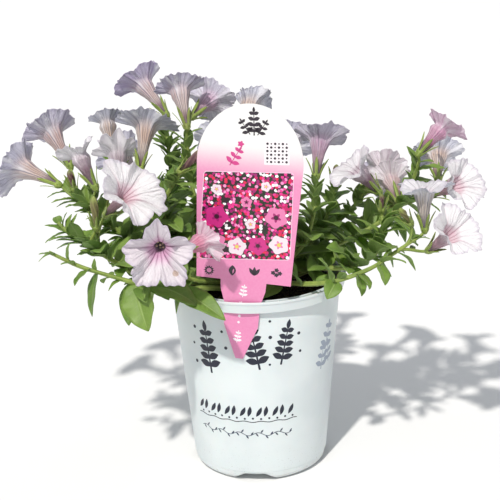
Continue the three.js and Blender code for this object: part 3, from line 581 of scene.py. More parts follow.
def shoot_skin(name, base, lit, blush):
    """Stems, stalks and sepals: soft green with paler ridges, reddish in patches."""
    s = Shader(name)
    tone = s.coats(base, (s.span(s.noise(90), 0.3, 0.7), lit),
                   (s.times(s.lines(s.grid()[0], 5, 3), 0.35), "#B9C268"),
                   (s.span(s.noise(34, 2), 0.55, 0.78, 0, 0.45), blush))
    return s.finish(tone, 0.56, s.bump(s.noise(1900, 2), 0.0003, 0.55), "#A9C24A", 0.12,
                    Sheen_Weight=0.3, Sheen_Roughness=0.45, Sheen_Tint="#F2F6D8")


def hair_skin():
    s = Shader("plant_hairs")
    return s.finish(s.coats("#D5DDA8", (s.noise(300, 1), "#F4F6DE")), 0.5, None, "#EEF4C8", 0.4)


def outer_skin(name, limb, tube, stripe, foot, rib, pale="#E9DFD0", glow=0.34):
    """A corolla's outside: limb, striped tube, foot, veins that run on and fork up the lobes, and painted
    highlights streaked along its folds.
    """
    s = Shader(name)
    u, v = s.grid()
    drift = s.drift(110, 2, 0.035)
    near = s.plus(u, drift)
    stripes, main = s.lines(near, 20, 4), s.lines(near, 15, 24)
    fork = s.lines(s.plus(u, s.times(drift, 2.2)), 50, 7)
    cloud = s.span(s.noise(70, 5, rough=0.65), 0.35, 0.68)
    folds = s.node("CombineXYZ", {0: s.times(u, 16), 1: s.times(v, 2.2), 2: s.noise(14, 1)}).outputs[0]
    # Painted highlight: near-white streaks along the limb's folds, from noise stretched across the petal. They
    # also feed the bump.
    painted_fold_highlights = s.span(s.noise(1, 3, folds, 0.6), 0.47, 0.66)
    body = s.coats(tube, (s.times(cloud, 0.4), pale),
                   (s.times(stripes, s.span(v, 0.78, 0.45, 0, 0.85)), stripe),
                   (s.span(v, 0.3, 0.05, 0, 0.9), foot))
    tone = s.coats(body, (s.span(v, 0.52, 0.84), limb), (s.times(cloud, 0.28), "#F4F2F6"),
                   (s.times(fork, s.span(v, 0.5, 0.8, 0.1, 0.34)), rib),
                   (s.times(main, s.span(v, 1, 0.5, 0.22, 0.55)), rib),
                   (s.times(s.lines(u, 5, 60), s.span(v, 0.98, 0.4, 0.3, 0.85)), rib),
                   (s.times(painted_fold_highlights, s.span(v, 0.35, 0.75, 0.1, 0.9)), "#FCFBFF"))
    height = s.plus(s.times(s.plus(stripes, main), -0.6), s.plus(s.times(s.noise(900, 4), 0.9), painted_fold_highlights))
    return s.finish(tone, 0.4, s.bump(height, 0.0005, 0.85), limb, glow,
                    Sheen_Weight=0.3, Sheen_Roughness=0.3)


def tan_spot(s, x, z):
    """The share of a small dry spot on a petal, seen from the front at x and z in mm."""
    flat = s.node("VectorMath", {0: s.place(), 1: (1, 0, 1)}, operation="MULTIPLY").outputs[0]
    middle = s.node("VectorMath", {0: flat, 1: (MM * x, 0, MM * z)}, operation="DISTANCE").outputs["Value"]
    return s.span(s.plus(middle, s.times(s.noise(500, 2), 0.0014)), 0.0034, 0.0024, 0, 0.6)


def inner_skin(name, limb, blush, vein, throat, reach=0.84, spot=None):
    """A corolla's inside: pale lobes, veins that fan out of the throat, a dark throat, and painted shade along
    the lobes' rim.
    """
    s = Shader(name)
    u, v = s.grid()
    drift = s.drift(80, 3, 0.04)
    fork = s.times(s.lines(s.plus(u, s.times(drift, 2)), 45, 6), s.span(v, 0.6, 0.74))
    veins = s.most(s.lines(s.plus(u, drift), 15, 12), s.times(fork, 0.5))
    cloud = s.span(s.noise(80, 4), 0.35, 0.7)
    spots = () if spot is None else ((tan_spot(s, *spot), "#B08A58"),)
    # The last coat is painted shade: the lobes' rim blends towards grey lilac.
    tone = s.coats(limb, (s.times(cloud, 0.5), "#F2F0F4"), (s.span(v, reach, 0.5, 0, 0.8), blush),
                   (s.times(s.lines(u, 5, 16), s.span(v, reach + 0.11, 0.5, 0.05, 0.6)), vein),
                   (s.times(veins, s.span(v, reach - 0.02, 0.46, 0.06, 0.95)), vein),
                   (s.span(v, 0.48, 0.34), throat), *spots, (s.span(v, 0.9, 1, 0, 0.5), "#B4A8BE"))
    height = s.plus(s.times(veins, -0.8), s.times(s.noise(420, 5, rough=0.6), 1.4))
    return s.finish(tone, 0.46, s.bump(height, 0.0009, 0.8), limb, 0.26,
                    Sheen_Weight=0.2, Sheen_Roughness=0.35)


def bud_skin(name, body, ridge, tip):
    s = Shader(name)
    u, v = s.grid()
    twist = s.plus(u, s.times(v, 0.35))
    tone = s.coats(body, (s.times(s.lines(twist, 5, 3), 0.7), ridge), (s.span(v, 0.72, 1, 0, 0.85), tip),
                   (s.span(v, 0.25, 0, 0, 0.5), "#7C8A3E"), (s.span(s.noise(400), 0.4, 0.8, 0, 0.3), ridge))
    return s.finish(tone, 0.6, s.bump(s.noise(1800, 2), 0.0003, 0.6), ridge, 0.1, Sheen_Weight=0.3,
                    Sheen_Roughness=0.45, Sheen_Tint="#E8E8D0")


def anther_skin():
    s = Shader("anthers")
    return s.finish(s.coats("#A78F72", (s.noise(900, 2), "#D8C8A4")), 0.7, s.bump(s.noise(3000), 0.0003, 0.6))


def dress(name, material):
    """A better material on a CAD node that stays."""
    node = bpy.data.objects[name]
    if not node.material_slots:
        node.data.materials.append(material)
    for slot in node.material_slots:
        slot.material = material


# ---------------------------------------------------------------- meshes
class Form:
    """Gathers closed lofts in mm and builds them as a mesh in metres, with a grid and tint on each corner."""

    def __init__(self):
        self.count = 0
        self.points, self.loops, self.sizes, self.grid, self.tint, self.slots = [], [], [], [], [], []

    def add(self, faces, grid=0.0, slots=0, tint=0.0):
        """Faces (n, k) over the points that close() adds next, with a grid (n, k, 2) and slots (n,)."""
        faces = np.asarray(faces)
        self.loops.append((faces + self.count).ravel())
        self.sizes.append(np.full(len(faces), faces.shape[1]))
        self.grid.append(np.broadcast_to(grid, (*faces.shape, 2)).reshape(-1, 2))
        self.tint.append(np.broadcast_to(tint, (faces.size, 2)))
        self.slots.append(np.broadcast_to(slots, (len(faces),)))

    def close(self, points):
        self.points.append(np.asarray(points, float).reshape(-1, 3))
        self.count += len(self.points[-1])

    def loft(self, rings, slots=0, u=None, v=None, tint=0.0):
        """A closed skin over rings of points, each turning counter-clockwise about the way the rings go."""
        rings = np.asarray(rings, float)
        rows, cols = rings.shape[:2]
        i, j = np.meshgrid(np.arange(rows - 1), np.arange(cols), indexing="ij")
        k = (j + 1) % cols
        low, high = i * cols, (i + 1) * cols
        quads = np.stack([low + j, low + k, high + k, high + j], -1).reshape(-1, 4)
        u = np.arange(cols + 1) / cols if u is None else u
        v = np.arange(rows) / (rows - 1) if v is None else v
        grid = np.stack([u[j], v[i], u[j + 1], v[i], u[j + 1], v[i + 1], u[j], v[i + 1]], -1)
        slots = np.broadcast_to(slots, (rows - 1, cols)).ravel()
        self.add(quads, grid.reshape(-1, 4, 2), slots, tint)
        self.add([np.arange(cols)[::-1]], (0.5, v[0]), slots[0], tint)
        self.add([(rows - 1) * cols + np.arange(cols)], (0.5, v[-1]), slots[0], tint)
        self.close(rings)

    def tube(self, points, radii, sides, slot=0, ridges=0.0):
        points = np.asarray(points, float)
        way = units(np.gradient(points, axis=0))
        side, _ = sideways(way[0])
        a = TAU * np.arange(sides) / sides
        bulge = 1 + ridges * np.cos(5 * a)
        rings = []
        for p, t, r in zip(points, way, np.broadcast_to(radii, (len(points),))):
            side = unit(side - t * (side @ t))
            up = np.cross(t, side)
            rings.append(p + r * bulge[:, None] * (np.cos(a)[:, None] * side + np.sin(a)[:, None] * up))
        self.loft(rings, slot)

    def blade(self, points, face, widths, thick, slot, cup):
        """A thin strip along points; face is the way its upper side looks and cup raises its edges."""
        points = np.asarray(points, float)
        q = np.array([-1, -0.5, 0.5, 1, 0.5, -0.5])
        rings = []
        for p, t, w in zip(points, np.gradient(points, axis=0), widths):
            t = unit(t)
            f = unit(face - t * (face @ t))
            h = np.array([0, -0.5, -0.5, 0, 0.5, 0.5]) * thick + cup * w * q * q
            rings.append(p + (q * w / 2)[:, None] * np.cross(f, t) + h[:, None] * f)
        self.loft(rings, slot)

    def build(self, name, materials, slot, *nodes, flat=False):
        mesh = bpy.data.meshes.new(name)
        points, loops = np.vstack(self.points) * MM, np.concatenate(self.loops)
        sizes = np.concatenate(self.sizes)
        mesh.vertices.add(len(points))
        mesh.vertices.foreach_set("co", points.ravel())
        mesh.loops.add(len(loops))
        mesh.loops.foreach_set("vertex_index", loops.astype(np.int32))
        mesh.polygons.add(len(sizes))
        mesh.polygons.foreach_set("loop_start", np.concatenate([[0], np.cumsum(sizes)[:-1]]).astype(np.int32))
        mesh.polygons.foreach_set("material_index", np.concatenate(self.slots).astype(np.int32))
        for layer, values in (("grid", self.grid), ("tint", self.tint)):
            mesh.uv_layers.new(name=layer).data.foreach_set("uv", np.vstack(values).ravel())
        for material in materials:
            mesh.materials.append(material)
        mesh.update(calc_edges=True)
        mesh.validate()
        mesh.polygons.foreach_set("use_smooth", np.full(len(mesh.polygons), not flat))
        piece = bpy.data.objects.new(name, mesh)
        bpy.context.collection.objects.link(piece)
        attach(piece, "root")
        if nodes:
            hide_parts(*nodes)


# ---------------------------------------------------------------- the pot
def around(azimuth, radius, z):
    """A point at an azimuth in radians from the front towards +X."""
    return np.stack([radius * np.sin(azimuth), -radius * np.cos(azimuth), z + 0 * azimuth], -1)


def rounded(profile):
    """A closed outline with each corner cut round: corners are (r, z, radius)."""
    out = []
    corners = np.array(profile, float)[:, :2]
    befores, afters = np.roll(corners, 1, 0), np.roll(corners, -1, 0)
    for p, before, after, (_, _, radius) in zip(corners, befores, afters, profile):
        cut = min(radius, 0.45 * np.linalg.norm(before - p), 0.45 * np.linalg.norm(after - p))
        a, b = p + unit(before - p) * cut, p + unit(after - p) * cut
        out += [(1 - t) ** 2 * a + 2 * t * (1 - t) * p + t * t * b for t in (0, 0.35, 0.65, 1)]
    return np.array(out)


POT_AROUND, FOOT_MIDDLE_R, HUB_R = 288, 52, 3
POT_OUTLINE = (
    (34, 0, 0.8), (36, CHANNEL_UNDER, 1), (49, CHANNEL_UNDER, 1), (49, 0, 0.4), (51, 0, 0.6), (53.8, 2, 0.8),
    (55.4, 4.5, 0.8), (55.75, 8.5, 0.3), (LINE_R, LINE_Z, 0.2), (POT_TOP_R, POT_TOP_Z, 0.7),
    (68.4, POT_TOP_Z, 0.7), (54.9, 12, 1), (52.6, CHANNEL_TOP, 1), (33.5, CHANNEL_TOP, 1),
    (31.6, PAD_TOP, 0.8), (HUB_R, PAD_TOP, 0), (HUB_R, 0, 0),
)


def pot():
    form = Form()
    a = TAU * np.arange(POT_AROUND) / POT_AROUND
    outline = rounded(POT_OUTLINE)
    outline = outline[(np.linalg.norm(outline - np.roll(outline, 1, 0), axis=1) > 1e-6)]
    roof = np.zeros(POT_AROUND)
    for k in range(4):
        turn = a - math.radians(NOTCH_ANGLE + 90 * k)
        x = FOOT_MIDDLE_R * np.sin(turn)
        slope = np.clip((NOTCH_BOTTOM / 2 - abs(x)) / ((NOTCH_BOTTOM - NOTCH_TOP) / 2), 0, 1)
        arch = smooth(0, 1, slope) * 0.35 + slope * 0.65
        roof = np.maximum(roof, np.where(np.cos(turn) > 0, arch, 0) * NOTCH_HEIGHT)
    rings = [around(a, r, np.maximum(z, roof) if r > 48.5 and z < NOTCH_HEIGHT else z) for r, z in outline]
    rows, cols = len(rings), POT_AROUND
    i, j = np.meshgrid(np.arange(rows), np.arange(cols), indexing="ij")
    k, m = (j + 1) % cols, (i + 1) % rows
    form.add(np.stack([i * cols + j, i * cols + k, m * cols + k, m * cols + j], -1).reshape(-1, 4))
    form.close(rings)
    for z, turn in ((PAD_TOP, 1), (0, -1)):
        form.add(np.stack([np.arange(cols), (np.arange(cols) + 1) % cols, np.full(cols, cols)][::turn], -1))
        form.close(np.vstack([around(a, HUB_R, z), [[0, 0, z]]]))
    low, high = POT_TOP_Z - BAND_HEIGHT, POT_TOP_Z
    skin, lip = BAND_SLOT + BAND_THICK - 0.3, BAND_SLOT + BAND_THICK + 0.3
    band = rounded(((BAND_SLOT, low, 0.3), (skin, low, 0.3), (skin, high - 2.6, 0.2), (lip, high - 2.1, 0.3),
                    (lip, high, 0.6), (BAND_SLOT, high, 0.5)))
    rib_end, rib_low, rib_high = BAND_SLOT + 0.3, low + 0.4, high - RIB_DROP
    rib = ((-0.3, rib_low), (rib_end, rib_low), (rib_end, rib_high), (-0.3, rib_high))
    half = RIB_WIDTH / 2 / POT_TOP_R
    for middle in BAND_MIDDLES:
        spans = [(band, np.radians(middle + np.linspace(-BAND_HALF, BAND_HALF, 105)))]
        spans += [(rib, np.radians(middle + at) + np.linspace(-half, half, 3)) for at in BAND_RIBS]
        for section, angles in spans:
            form.loft([[around(np.array(angle), wall_radius(z) + d, z) for d, z in section]
                       for angle in angles])
    form.build("nursery_pot", [pot_plastic()], "pot_plastic", "pot")


# ---------------------------------------------------------------- print
PRINT_SUNK, PRINT_PROUD, OVERPRINT = -0.05, 0.06, 0.09


def on_pot(x, z, lift):
    """A point on the wall: x is mm along it from the front, to the right, at that height."""
    x, z, lift = np.broadcast_arrays(np.asarray(x, float), np.asarray(z, float), lift)
    r = wall_radius(z)
    return around(x / r, r + lift / math.cos(taper), z)


def on_tag(x, y, lift):
    x, y, lift = np.broadcast_arrays(np.asarray(x, float), np.asarray(y, float), lift)
    return tag_tip + (x[..., None] * tag_right + y[..., None] * tag_rise
                      + (lift + TAG_THICK / 2)[..., None] * tag_face)


def stroke(form, place, points, widths, slot=0, proud=PRINT_PROUD):
    """A printed line of changing width along (x, y) points."""
    p = np.asarray(points, float)
    way = np.gradient(p, axis=0)
    side = np.stack([way[:, 1], -way[:, 0]], -1) / np.linalg.norm(way, axis=1)[:, None]
    half = np.broadcast_to(widths, (len(p),))[:, None] / 2
    right, left = p + side * half, p - side * half
    edges = ((left, PRINT_SUNK), (right, PRINT_SUNK), (right, proud), (left, proud))
    form.loft(np.stack([place(*edge.T, lift) for edge, lift in edges], 1)[:, ::-1], slot)


def patch(form, place, points, slot=0, proud=PRINT_PROUD):
    """A printed patch inside a counter-clockwise outline of (x, y) points."""
    p = np.asarray(points, float)
    form.loft(np.stack([place(*p.T, PRINT_SUNK), place(*p.T, proud)]), slot)


def lens(form, place, x, y, length, width, angle, slot=0, bend=0.0, proud=PRINT_PROUD):
    """A leaf shape that starts at (x, y) and points along an angle in degrees."""
    t = np.linspace(0, 1, 9)
    a = math.radians(angle) + bend * t
    step = np.stack([np.cos(a), np.sin(a)], -1) * length / 8
    points = np.array([x, y]) + np.vstack([[0, 0], np.cumsum((step[1:] + step[:-1]) / 2, 0)])
    stroke(form, place, points, width * np.sin(np.pi * np.clip(t, 0.02, 0.98)) ** 0.8, slot, proud)


def disc(form, place, x, y, radius, slot=0, lobes=0, depth=0.0, proud=PRINT_PROUD, spin=0.0):
    a = TAU * np.arange(30) / 30
    r = radius * (1 - depth * (0.5 - 0.5 * np.cos(lobes * (a - spin))))
    patch(form, place, np.stack([x + r * np.cos(a), y + r * np.sin(a)], -1), slot, proud)


def sprig(form, place, x, y, size, angle, leaves, slot=0):
    """A stem with pairs of leaves, pointing along an angle."""
    a, root = math.radians(angle), np.array([x, y])
    way = size * np.array([math.cos(a), math.sin(a)])
    t = np.linspace(0, 1, 9)
    stroke(form, place, root + t[:, None] * way, 0.03 * size * (1.3 - t) + 0.25, slot)
    for k in range(leaves):
        share = k / (leaves - 1)
        long = size * mix(1.55, 1.0, share) / (leaves + 1)
        wide = size * mix(0.26, 0.208, share) / (0.25 * leaves + 0.5)
        for turn in (52, -52):
            lens(form, place, *(root + way * (0.14 + 0.66 * share)), long, wide, angle + turn, slot,
                 math.copysign(-0.5, turn))
    lens(form, place, *(root + way * 0.86), size * 0.24, size * 0.1, angle, slot)


def printed(name, place, slot, skins, items):
    """A piece of print, of rows that hold a shape and its values."""
    form = Form()
    for shape, *values in items:
        shape(form, place, *values)
    form.build(name, skins, slot, flat=True)


def pot_print():
    """Generic garden ornament in dark navy: sprigs, a border of leaves and dots, and a thin vine."""
    dots = table("-54 104 1.5; -56 120 1.2; -54 135 1.5; -27 136 1.2; -24 122 1.4; -12 138 1.3; -11 122 1.1;"
                 "12 132 1.5; 11 108 1.0; 36 132 1.4; 37 116 1.2; 12 146 1.1")
    ornament = [(sprig, *row) for row in table("-38 97 42 97 5; 3 104 40 100 5; 20 107 36 78 5")]
    ornament += [(disc, *dot) for dot in dots]
    for k in range(13):
        x = -54 + 6.6 * k
        ornament += [(lens, x, 61.5, 9.5, 3.4, 68 if k % 2 else 52, 0, 0.35),
                     (disc, x + 3.9, 59.2 + 0.4 * (k % 2), 0.9)]
    t = np.linspace(0, 1, 90)
    ornament.append((stroke, np.stack([-55 + 88 * t, 56.6 + 0.5 * np.sin(TAU * 6.5 * t)], -1), 0.7))
    vine = [(stroke, np.stack([-52 + 80 * t, 45 + 1.5 * np.sin(TAU * 5 * t)], -1), 0.55)]
    vine += [(lens, 4 * k - 50, 45 + 1.5 * math.sin(TAU * 5 * (4 * k + 2) / 80), 3.8, 1.3,
              55 if k % 2 else -55) for k in range(20)]
    side = [(sprig, *row, 3) for row in table("60 92 22 80; 66 108 24 74; 72 95 20 96")]
    for name, items, shade, code in (("ornament", ornament, "navy", "#10162A"),
                                     ("vine", vine, "slate", "#2E374C"), ("side", side, "pale", "#8E98A8")):
        printed("pot_%s_print" % name, on_pot, "pot_plastic", [ink("pot_print_" + shade, code)], items)


PANEL, PANEL_ROUND = ((-34.1, 154.2), (33.0, 160.0), (34.6, 89.6), (-35.3, 82.8)), 0.035
FLOWERS = table("-23 119 9.4 0; 22 123 9.0 1; -23 98 8.2 1; -6.5 96 7.6 2; 9.5 98.5 7.8 0; 25.5 101 8.0 2;"
                "-1 133 4.6 1; 13 147 4.2 2; -24 141 4.4 2; 3 115.5 4.4 2")
DOTTED_PATCH = ((10.6, 164.2), (29.4, 165.8), (28.4, 184.4), (9.8, 182.8))


def within(corners, h, k):
    """A point at shares of the width and height of a patch, whose corners start at the lower left."""
    a, b, c, d = np.array(corners)
    return mix(mix(a, b, h), mix(d, c, h), k)


def label_print():
    outline = []
    for side, rise, start in ((0, 0, 180), (1, 0, 270), (1, 1, 0), (0, 1, 90)):
        for step in range(5):
            a = math.radians(start + 22.5 * step)
            outline.append(within(PANEL[::-1], *(mix(PANEL_ROUND, 1 - PANEL_ROUND, at) + PANEL_ROUND * turn
                                                 for at, turn in ((side, math.cos(a)), (rise, math.sin(a))))))
    printed("label_panel", on_tag, "label_card", [panel_print()], [(patch, outline)])
    printed("label_panel_edge", on_tag, "label_card", [ink("label_print_white", "#E6C6D8", 0.32)],
            [(stroke, outline + outline[:2], 0.5, 0, OVERPRINT)])

    flowers_print = []
    for n, (x, y, r, kind) in enumerate(FLOWERS):
        flowers_print += [(disc, x, y, r, kind, 5, 0.2, 0.10, 0.9 * n),
                          (disc, x, y, 0.45 * r, 3 if kind != 2 else 1, 5, 0.5, 0.13, 0.9 * n),
                          (disc, x, y, 0.2 * r, 4 if kind == 2 else 5, 0, 0, 0.16)]
    printed("label_flowers", on_tag, "label_card",
            inks("label_flower", 0.34, "#C22A7E", "#D979A8", "#DFD3DA", "#9A1C66", "#D8C860", "#3A1028"),
            flowers_print)

    marks = [(sprig, 2, 186, 20, 94, 4, 0), (sprig, 4.5, 186.5, 13, 62, 3, 0),
             (sprig, -1, 186.5, 13, 126, 3, 0), (sprig, -15, 161, 16, 62, 3, 1),
             (disc, -7.5, 178.5, 2.6, 1, 5, 0.35), (patch, DOTTED_PATCH, 2)]
    marks += [(disc, *within(DOTTED_PATCH, (i + 0.8) / 6.6, (k + 0.8) / 6.6), 0.95 if (i + k) % 2 else 0.6,
               0, 0, 0, OVERPRINT) for i in range(6) for k in range(6)]
    (sx, sy), (lx, ly), (tx, ty), (fx, fy) = ((x, 76.2 + 0.09 * x) for x in (-27, -9, 8, 25))
    marks += [(disc, sx, sy, 4.4, 0, 12, 0.42), (disc, sx, sy, 1.9, 3, 0, 0, OVERPRINT)]
    marks += [(lens, lx, ly - 4, 8.6, 5.6, 90, 0), (lens, lx + 0.4, ly - 2.2, 4.0, 1.2, 80, 3, 0, OVERPRINT)]
    marks += [(lens, tx, ty - 3.6, 7.2, 2.8, 90 + turn) for turn in (-34, 0, 34)]
    marks += [(disc, fx + q, fy + z, 1.9, 0, 5, 0.3) for q, z in ((-2.6, -1), (0, 1.4), (2.6, -1), (0, -2.6))]
    marks.append((sprig, -2.6, 14, 10, 84, 3, 2))
    marks += [(disc, -2 + 0.35 * k, 32 + 5.5 * k, 1.2 + 0.2 * k, 2, 5, 0.35) for k in range(4)]
    marks.append((sprig, 0, 54, 10, 84, 3, 2))
    printed("label_marks", on_tag, "label_card", inks(
        "label_mark", 0.36, "#2E2630", "#C83E84", "#E9E2E6", "#DD88B2", "#D8C860"), marks)


# ---------------------------------------------------------------- soil
CRUMBS, CRUMB_REACH, CHIP_SHARE, BARK_SHARE = 900, 66.2, 0.28, 0.3


def soil():
    """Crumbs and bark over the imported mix."""
    rng = np.random.default_rng(61)
    form = Form()
    E, A = np.meshgrid((-1.15, -0.6, 0, 0.6, 1.15), TAU * np.arange(8) / 8, indexing="ij")
    for _ in range(CRUMBS):
        radius, angle = CRUMB_REACH * math.sqrt(rng.random()), TAU * rng.random()
        top = SOIL_TOP - 1 + 4 * (1 - (radius / 67) ** 2)
        if rng.random() < CHIP_SHARE:
            size = np.array([rng.uniform(1.6, 4.2), rng.uniform(0.8, 1.8), rng.uniform(0.5, 1.0)])
        else:
            size = np.full(3, rng.uniform(0.6, 1.9)) * rng.uniform(0.7, 1.2, 3)
        turn = Matrix.Rotation(TAU * rng.random(), 3, "Z") @ Matrix.Rotation(rng.uniform(-0.4, 0.4), 3, "X")
        bumpy = 1 + rng.uniform(-0.16, 0.16, E.shape)
        rings = np.stack([np.cos(A) * np.cos(E) * bumpy, np.sin(A) * np.cos(E) * bumpy, np.sin(E)], -1)
        place = np.array([radius * math.cos(angle), radius * math.sin(angle), top + 0.2 * size[2]])
        form.loft(rings * size @ np.array(turn).T + place, int(rng.random() < BARK_SHARE))
    form.build("soil_crumbs", [potting_mix("soil_crumb"), potting_mix("bark_chip", "#2A1C13", "#6B4C31")],
               "potting_mix")
    dress("soil", potting_mix())


# ---------------------------------------------------------------- foliage
LEAF_THICK, HAIR_R = 0.34, 0.055
TOP, UNDER, SHOOT, HAIR = range(4)


def add_leaf(form, leaf, rng):
    """A blade with a sunken midrib, puffed between its veins, with a slightly wavy edge."""
    rows = 17 if leaf.length > 18 else 11
    s, q = 0.994 * np.linspace(0.0, 1.0, rows), np.linspace(-1, 1, 11)
    S, flat = np.meshgrid(s, q, indexing="ij")
    plump = np.maximum(2.745 * S ** 0.6 * (1 - S) ** 0.9, 0.09 * (1 - S) + 0.012)
    Q = flat * plump / np.maximum(leaf_shape(S), 0.1 * (1 - S))
    arch, out = np.sin(np.pi * S), abs(flat)
    phase, waves, wave = rng.uniform(0, TAU), rng.uniform(1.3, 2.6), rng.uniform(0.02, 0.07) * leaf.width
    slant = S - 0.13 * out + 0.04
    puff = 0.02 * leaf.width * (0.5 - 0.5 * np.cos(TAU * 6 * slant)) * np.clip(4 * out * (1 - out), 0, 1)
    dome = 0.06 * leaf.width * (1 - flat ** 2) * arch * rng.uniform(0.2, 1.0)
    side = np.where(flat > 0, rng.uniform(-0.5, 1.0), rng.uniform(-0.5, 1.0))
    edge = wave * flat ** 2 * (np.sin(TAU * waves * S + phase) + side) * arch
    groove = -0.025 * leaf.width * np.exp(-(flat / 0.1) ** 2) * (1 - S)
    lift = puff + dome + edge + groove
    rings = np.concatenate([leaf.point(S, Q, lift)[:, ::-1], leaf.point(S, Q, lift - LEAF_THICK)], axis=1)
    share = (q + 1) / 2
    slots = np.full((rows - 1, 22), TOP)
    slots[:, 10:] = UNDER
    young = 0.5 * float(smooth(26, 12, leaf.length))
    form.loft(rings, slots, np.concatenate([share[::-1], share, share[-1:]]), s,
              (young + (1 - young) * rng.random() ** 1.4, rng.random() ** 2 * (1 - young)))


def add_sepals(form, seat, axis, spin, scale, rng):
    """The calyx: a cup on the stalk and five long narrow lobes around the tube."""
    u, w = sideways(axis)
    cup = [seat + axis * z for z in (-5.3, -4.2, -2.6, -0.8, 0.4)]
    form.tube(cup, np.array([1.35, 2.1, 3.0, 3.5, 3.35]) * mix(0.8, 1, scale), 15, SHOOT, 0.06)
    t = np.linspace(0, 1, 9)
    wide = 3.3 * scale * np.interp(t, (0, 0.25, 0.6, 0.85, 1), (0.8, 0.95, 1.0, 0.7, 0.16))
    for k in range(5):
        a = math.radians(72 * k + spin) + rng.uniform(-0.1, 0.1)
        r = u * math.cos(a) + w * math.sin(a)
        long = CALYX_REACH * scale * rng.uniform(0.92, 1.1)
        flare = CALYX_SPREAD * scale * rng.uniform(0.85, 1.1)
        points = [seat + axis * (-2.2 + (long + 2.2) * x) + r * (3.0 + (flare - 3.0) * x ** 1.5) for x in t]
        form.blade(points, -r, wide, 0.5, SHOOT, 0.12)


def tube_hairs(rng, points, radius, each_mm, length):
    """Roots, ways and lengths of hairs on a shoot, as a list of one group."""
    points = np.asarray(points)
    n = int(np.linalg.norm(np.diff(points, axis=0), axis=1).sum() * each_mm)
    if n < 1:
        return []
    x = rng.random(n) * (len(points) - 1)
    i, f = x.astype(int), (x % 1)[:, None]
    root, way = points[i] * (1 - f) + points[i + 1] * f, units(points[i + 1] - points[i])
    out = rng.normal(size=(n, 3))
    out = units(out - way * (out * way).sum(1)[:, None])
    lean = units(out + 0.35 * rng.normal(size=(n, 3)))
    return [(root + out * radius * 0.9, lean, length * rng.uniform(0.6, 1.3, n))]


def add_hairs(form, groups):
    """Hairs as fine three-sided spikes."""
    for root, way, length in groups:
        a = units(np.cross(way, np.where(abs(way[:, 2:3]) > 0.9, [[1.0, 0, 0]], [[0, 0, 1.0]])))
        b = np.cross(way, a)
        corners = [root + HAIR_R * (a * math.cos(t) + b * math.sin(t)) for t in (0, TAU / 3, 2 * TAU / 3)]
        sides = np.array([(0, 1, 3), (1, 2, 3), (2, 0, 3), (0, 2, 1)])
        form.add((4 * np.arange(len(root))[:, None, None] + sides).reshape(-1, 3), slots=HAIR)
        form.close(np.stack([*corners, root + way * length[:, None]], 1))


def plant(leaves):
    skins = [leaf_skin("leaf_upper", "#86A648", "#587C30", "#B4C880", "#A6C848", 0.36, 0.32),
             leaf_skin("leaf_under", "#93AE68", "#7A9A54", "#B4C88A", "#A0C848", 0.6, 0.36),
             shoot_skin("shoots", "#6C8436", "#8EA24A", "#73583F"), hair_skin()]
    for i, curve in enumerate(curves):
        rng, form = np.random.default_rng(100 + i), Form()
        route = np.array([curve.at(k / 45) for k in range(46)])
        t = np.concatenate([[0], np.linspace(0, 1, 46)])
        form.tube(np.vstack([[*route[0][:2], SOIL_TOP + SOIL_CROWN - ROOT_DEPTH], route]),
                  mix(STEM_ROOT_R, STEM_TIP_R, t) * (1 + 0.05 * np.sin(23 * t + i)), 12, SHOOT, 0.04)
        hairs = tube_hairs(rng, route, 1.8, 1.1, 1.3)
        for (seat, axis, _, _, stem, _, spin, open_bloom), stalk in zip(flowers, stalks):
            if stem != i + 1:
                continue
            base = seat - GAP * axis
            line = np.array([stalk.at(x) for x in np.linspace(0, 1, 18)])
            line = np.vstack([line[:-1], base - 5 * axis])
            line = line[np.concatenate([[True], np.linalg.norm(np.diff(line, axis=0), axis=1) > 0.4])]
            form.tube(line, np.linspace(1.35, 1.15, len(line)), 10, SHOOT)
            hairs += tube_hairs(rng, line, 1.2, 1.8, 1.1)
            add_sepals(form, base, axis, spin, 1.0 if open_bloom else 0.78, rng)
            hairs += tube_hairs(rng, [base - 5 * axis, base + 0.5 * axis], 3.2, 9.0, 0.9)
            for _ in range(2 if np.linalg.norm(line[0] - line[-1]) > 22 else 1):
                x = rng.uniform(0.12, 0.5)
                along = unit(stalk.at(x + 0.02) - stalk.at(x - 0.02))
                side, _ = sideways(along, rng.uniform(0, 360))
                out, long = unit(along * 0.75 + side * 0.7), rng.uniform(9, 15)
                add_leaf(form, Leaf(stalk.at(x), along, out, long, long * rng.uniform(0.3, 0.45), 30), rng)
        for leaf in leaves[i]:
            add_leaf(form, leaf, rng)
        add_hairs(form, hairs)
        form.build("leafy_shoot_%02d" % (i + 1), skins, "foliage", "stem_%02d" % (i + 1))


# ---------------------------------------------------------------- corollas
# Each bloom's looks: outside, inside, how its limb is crumpled, folded and curled.
OUTSIDES = {
    "lilac": ("#D1CFE0", "#ECD0C2", "#6E4028", "#7C4E70", "#5E4C7A"),
    "grey": ("#CBCDDA", "#E4C8B4", "#72462E", "#703E56", "#565070"),
    "mauve": ("#CAC6D8", "#E8C8C0", "#70402E", "#763E5C", "#5E4A72"),
    # The white outside's dark maroon tube is partly its own colour and partly painted shade, as dark as the
    # tube looks in shadow.
    "white": ("#FFFEFF", "#64283E", "#3A0E20", "#360E26", "#B4AABC", "#945E6C", 0.72),
    "violet": ("#CDC3E0", "#ECCDC6", "#803A30", "#70386A", "#6C3480"),
    "rose": ("#F0E8EE", "#E8CCC6", "#9A5C66", "#80405A", "#B08AA4", "#F2E8E0", 0.45),
    "blush": ("#E4E2EE", "#EABCD4", "#A05C78", "#6C3A52", "#8C7896", "#F2E4EA", 0.5),
    "pink": ("#F0D6E2", "#EC8CAE", "#B42E5E", "#8C3450", "#B8608E", "#F4D4DE", 0.4),
    "hot": ("#EBD6E6", "#DC8CB8", "#8C2C62", "#6E3450", "#A8408C", "#F0D8E0", 0.4),
    "blue": ("#D2D4E0", "#E2D6C6", "#664434", "#70587A", "#6A7090"),
}
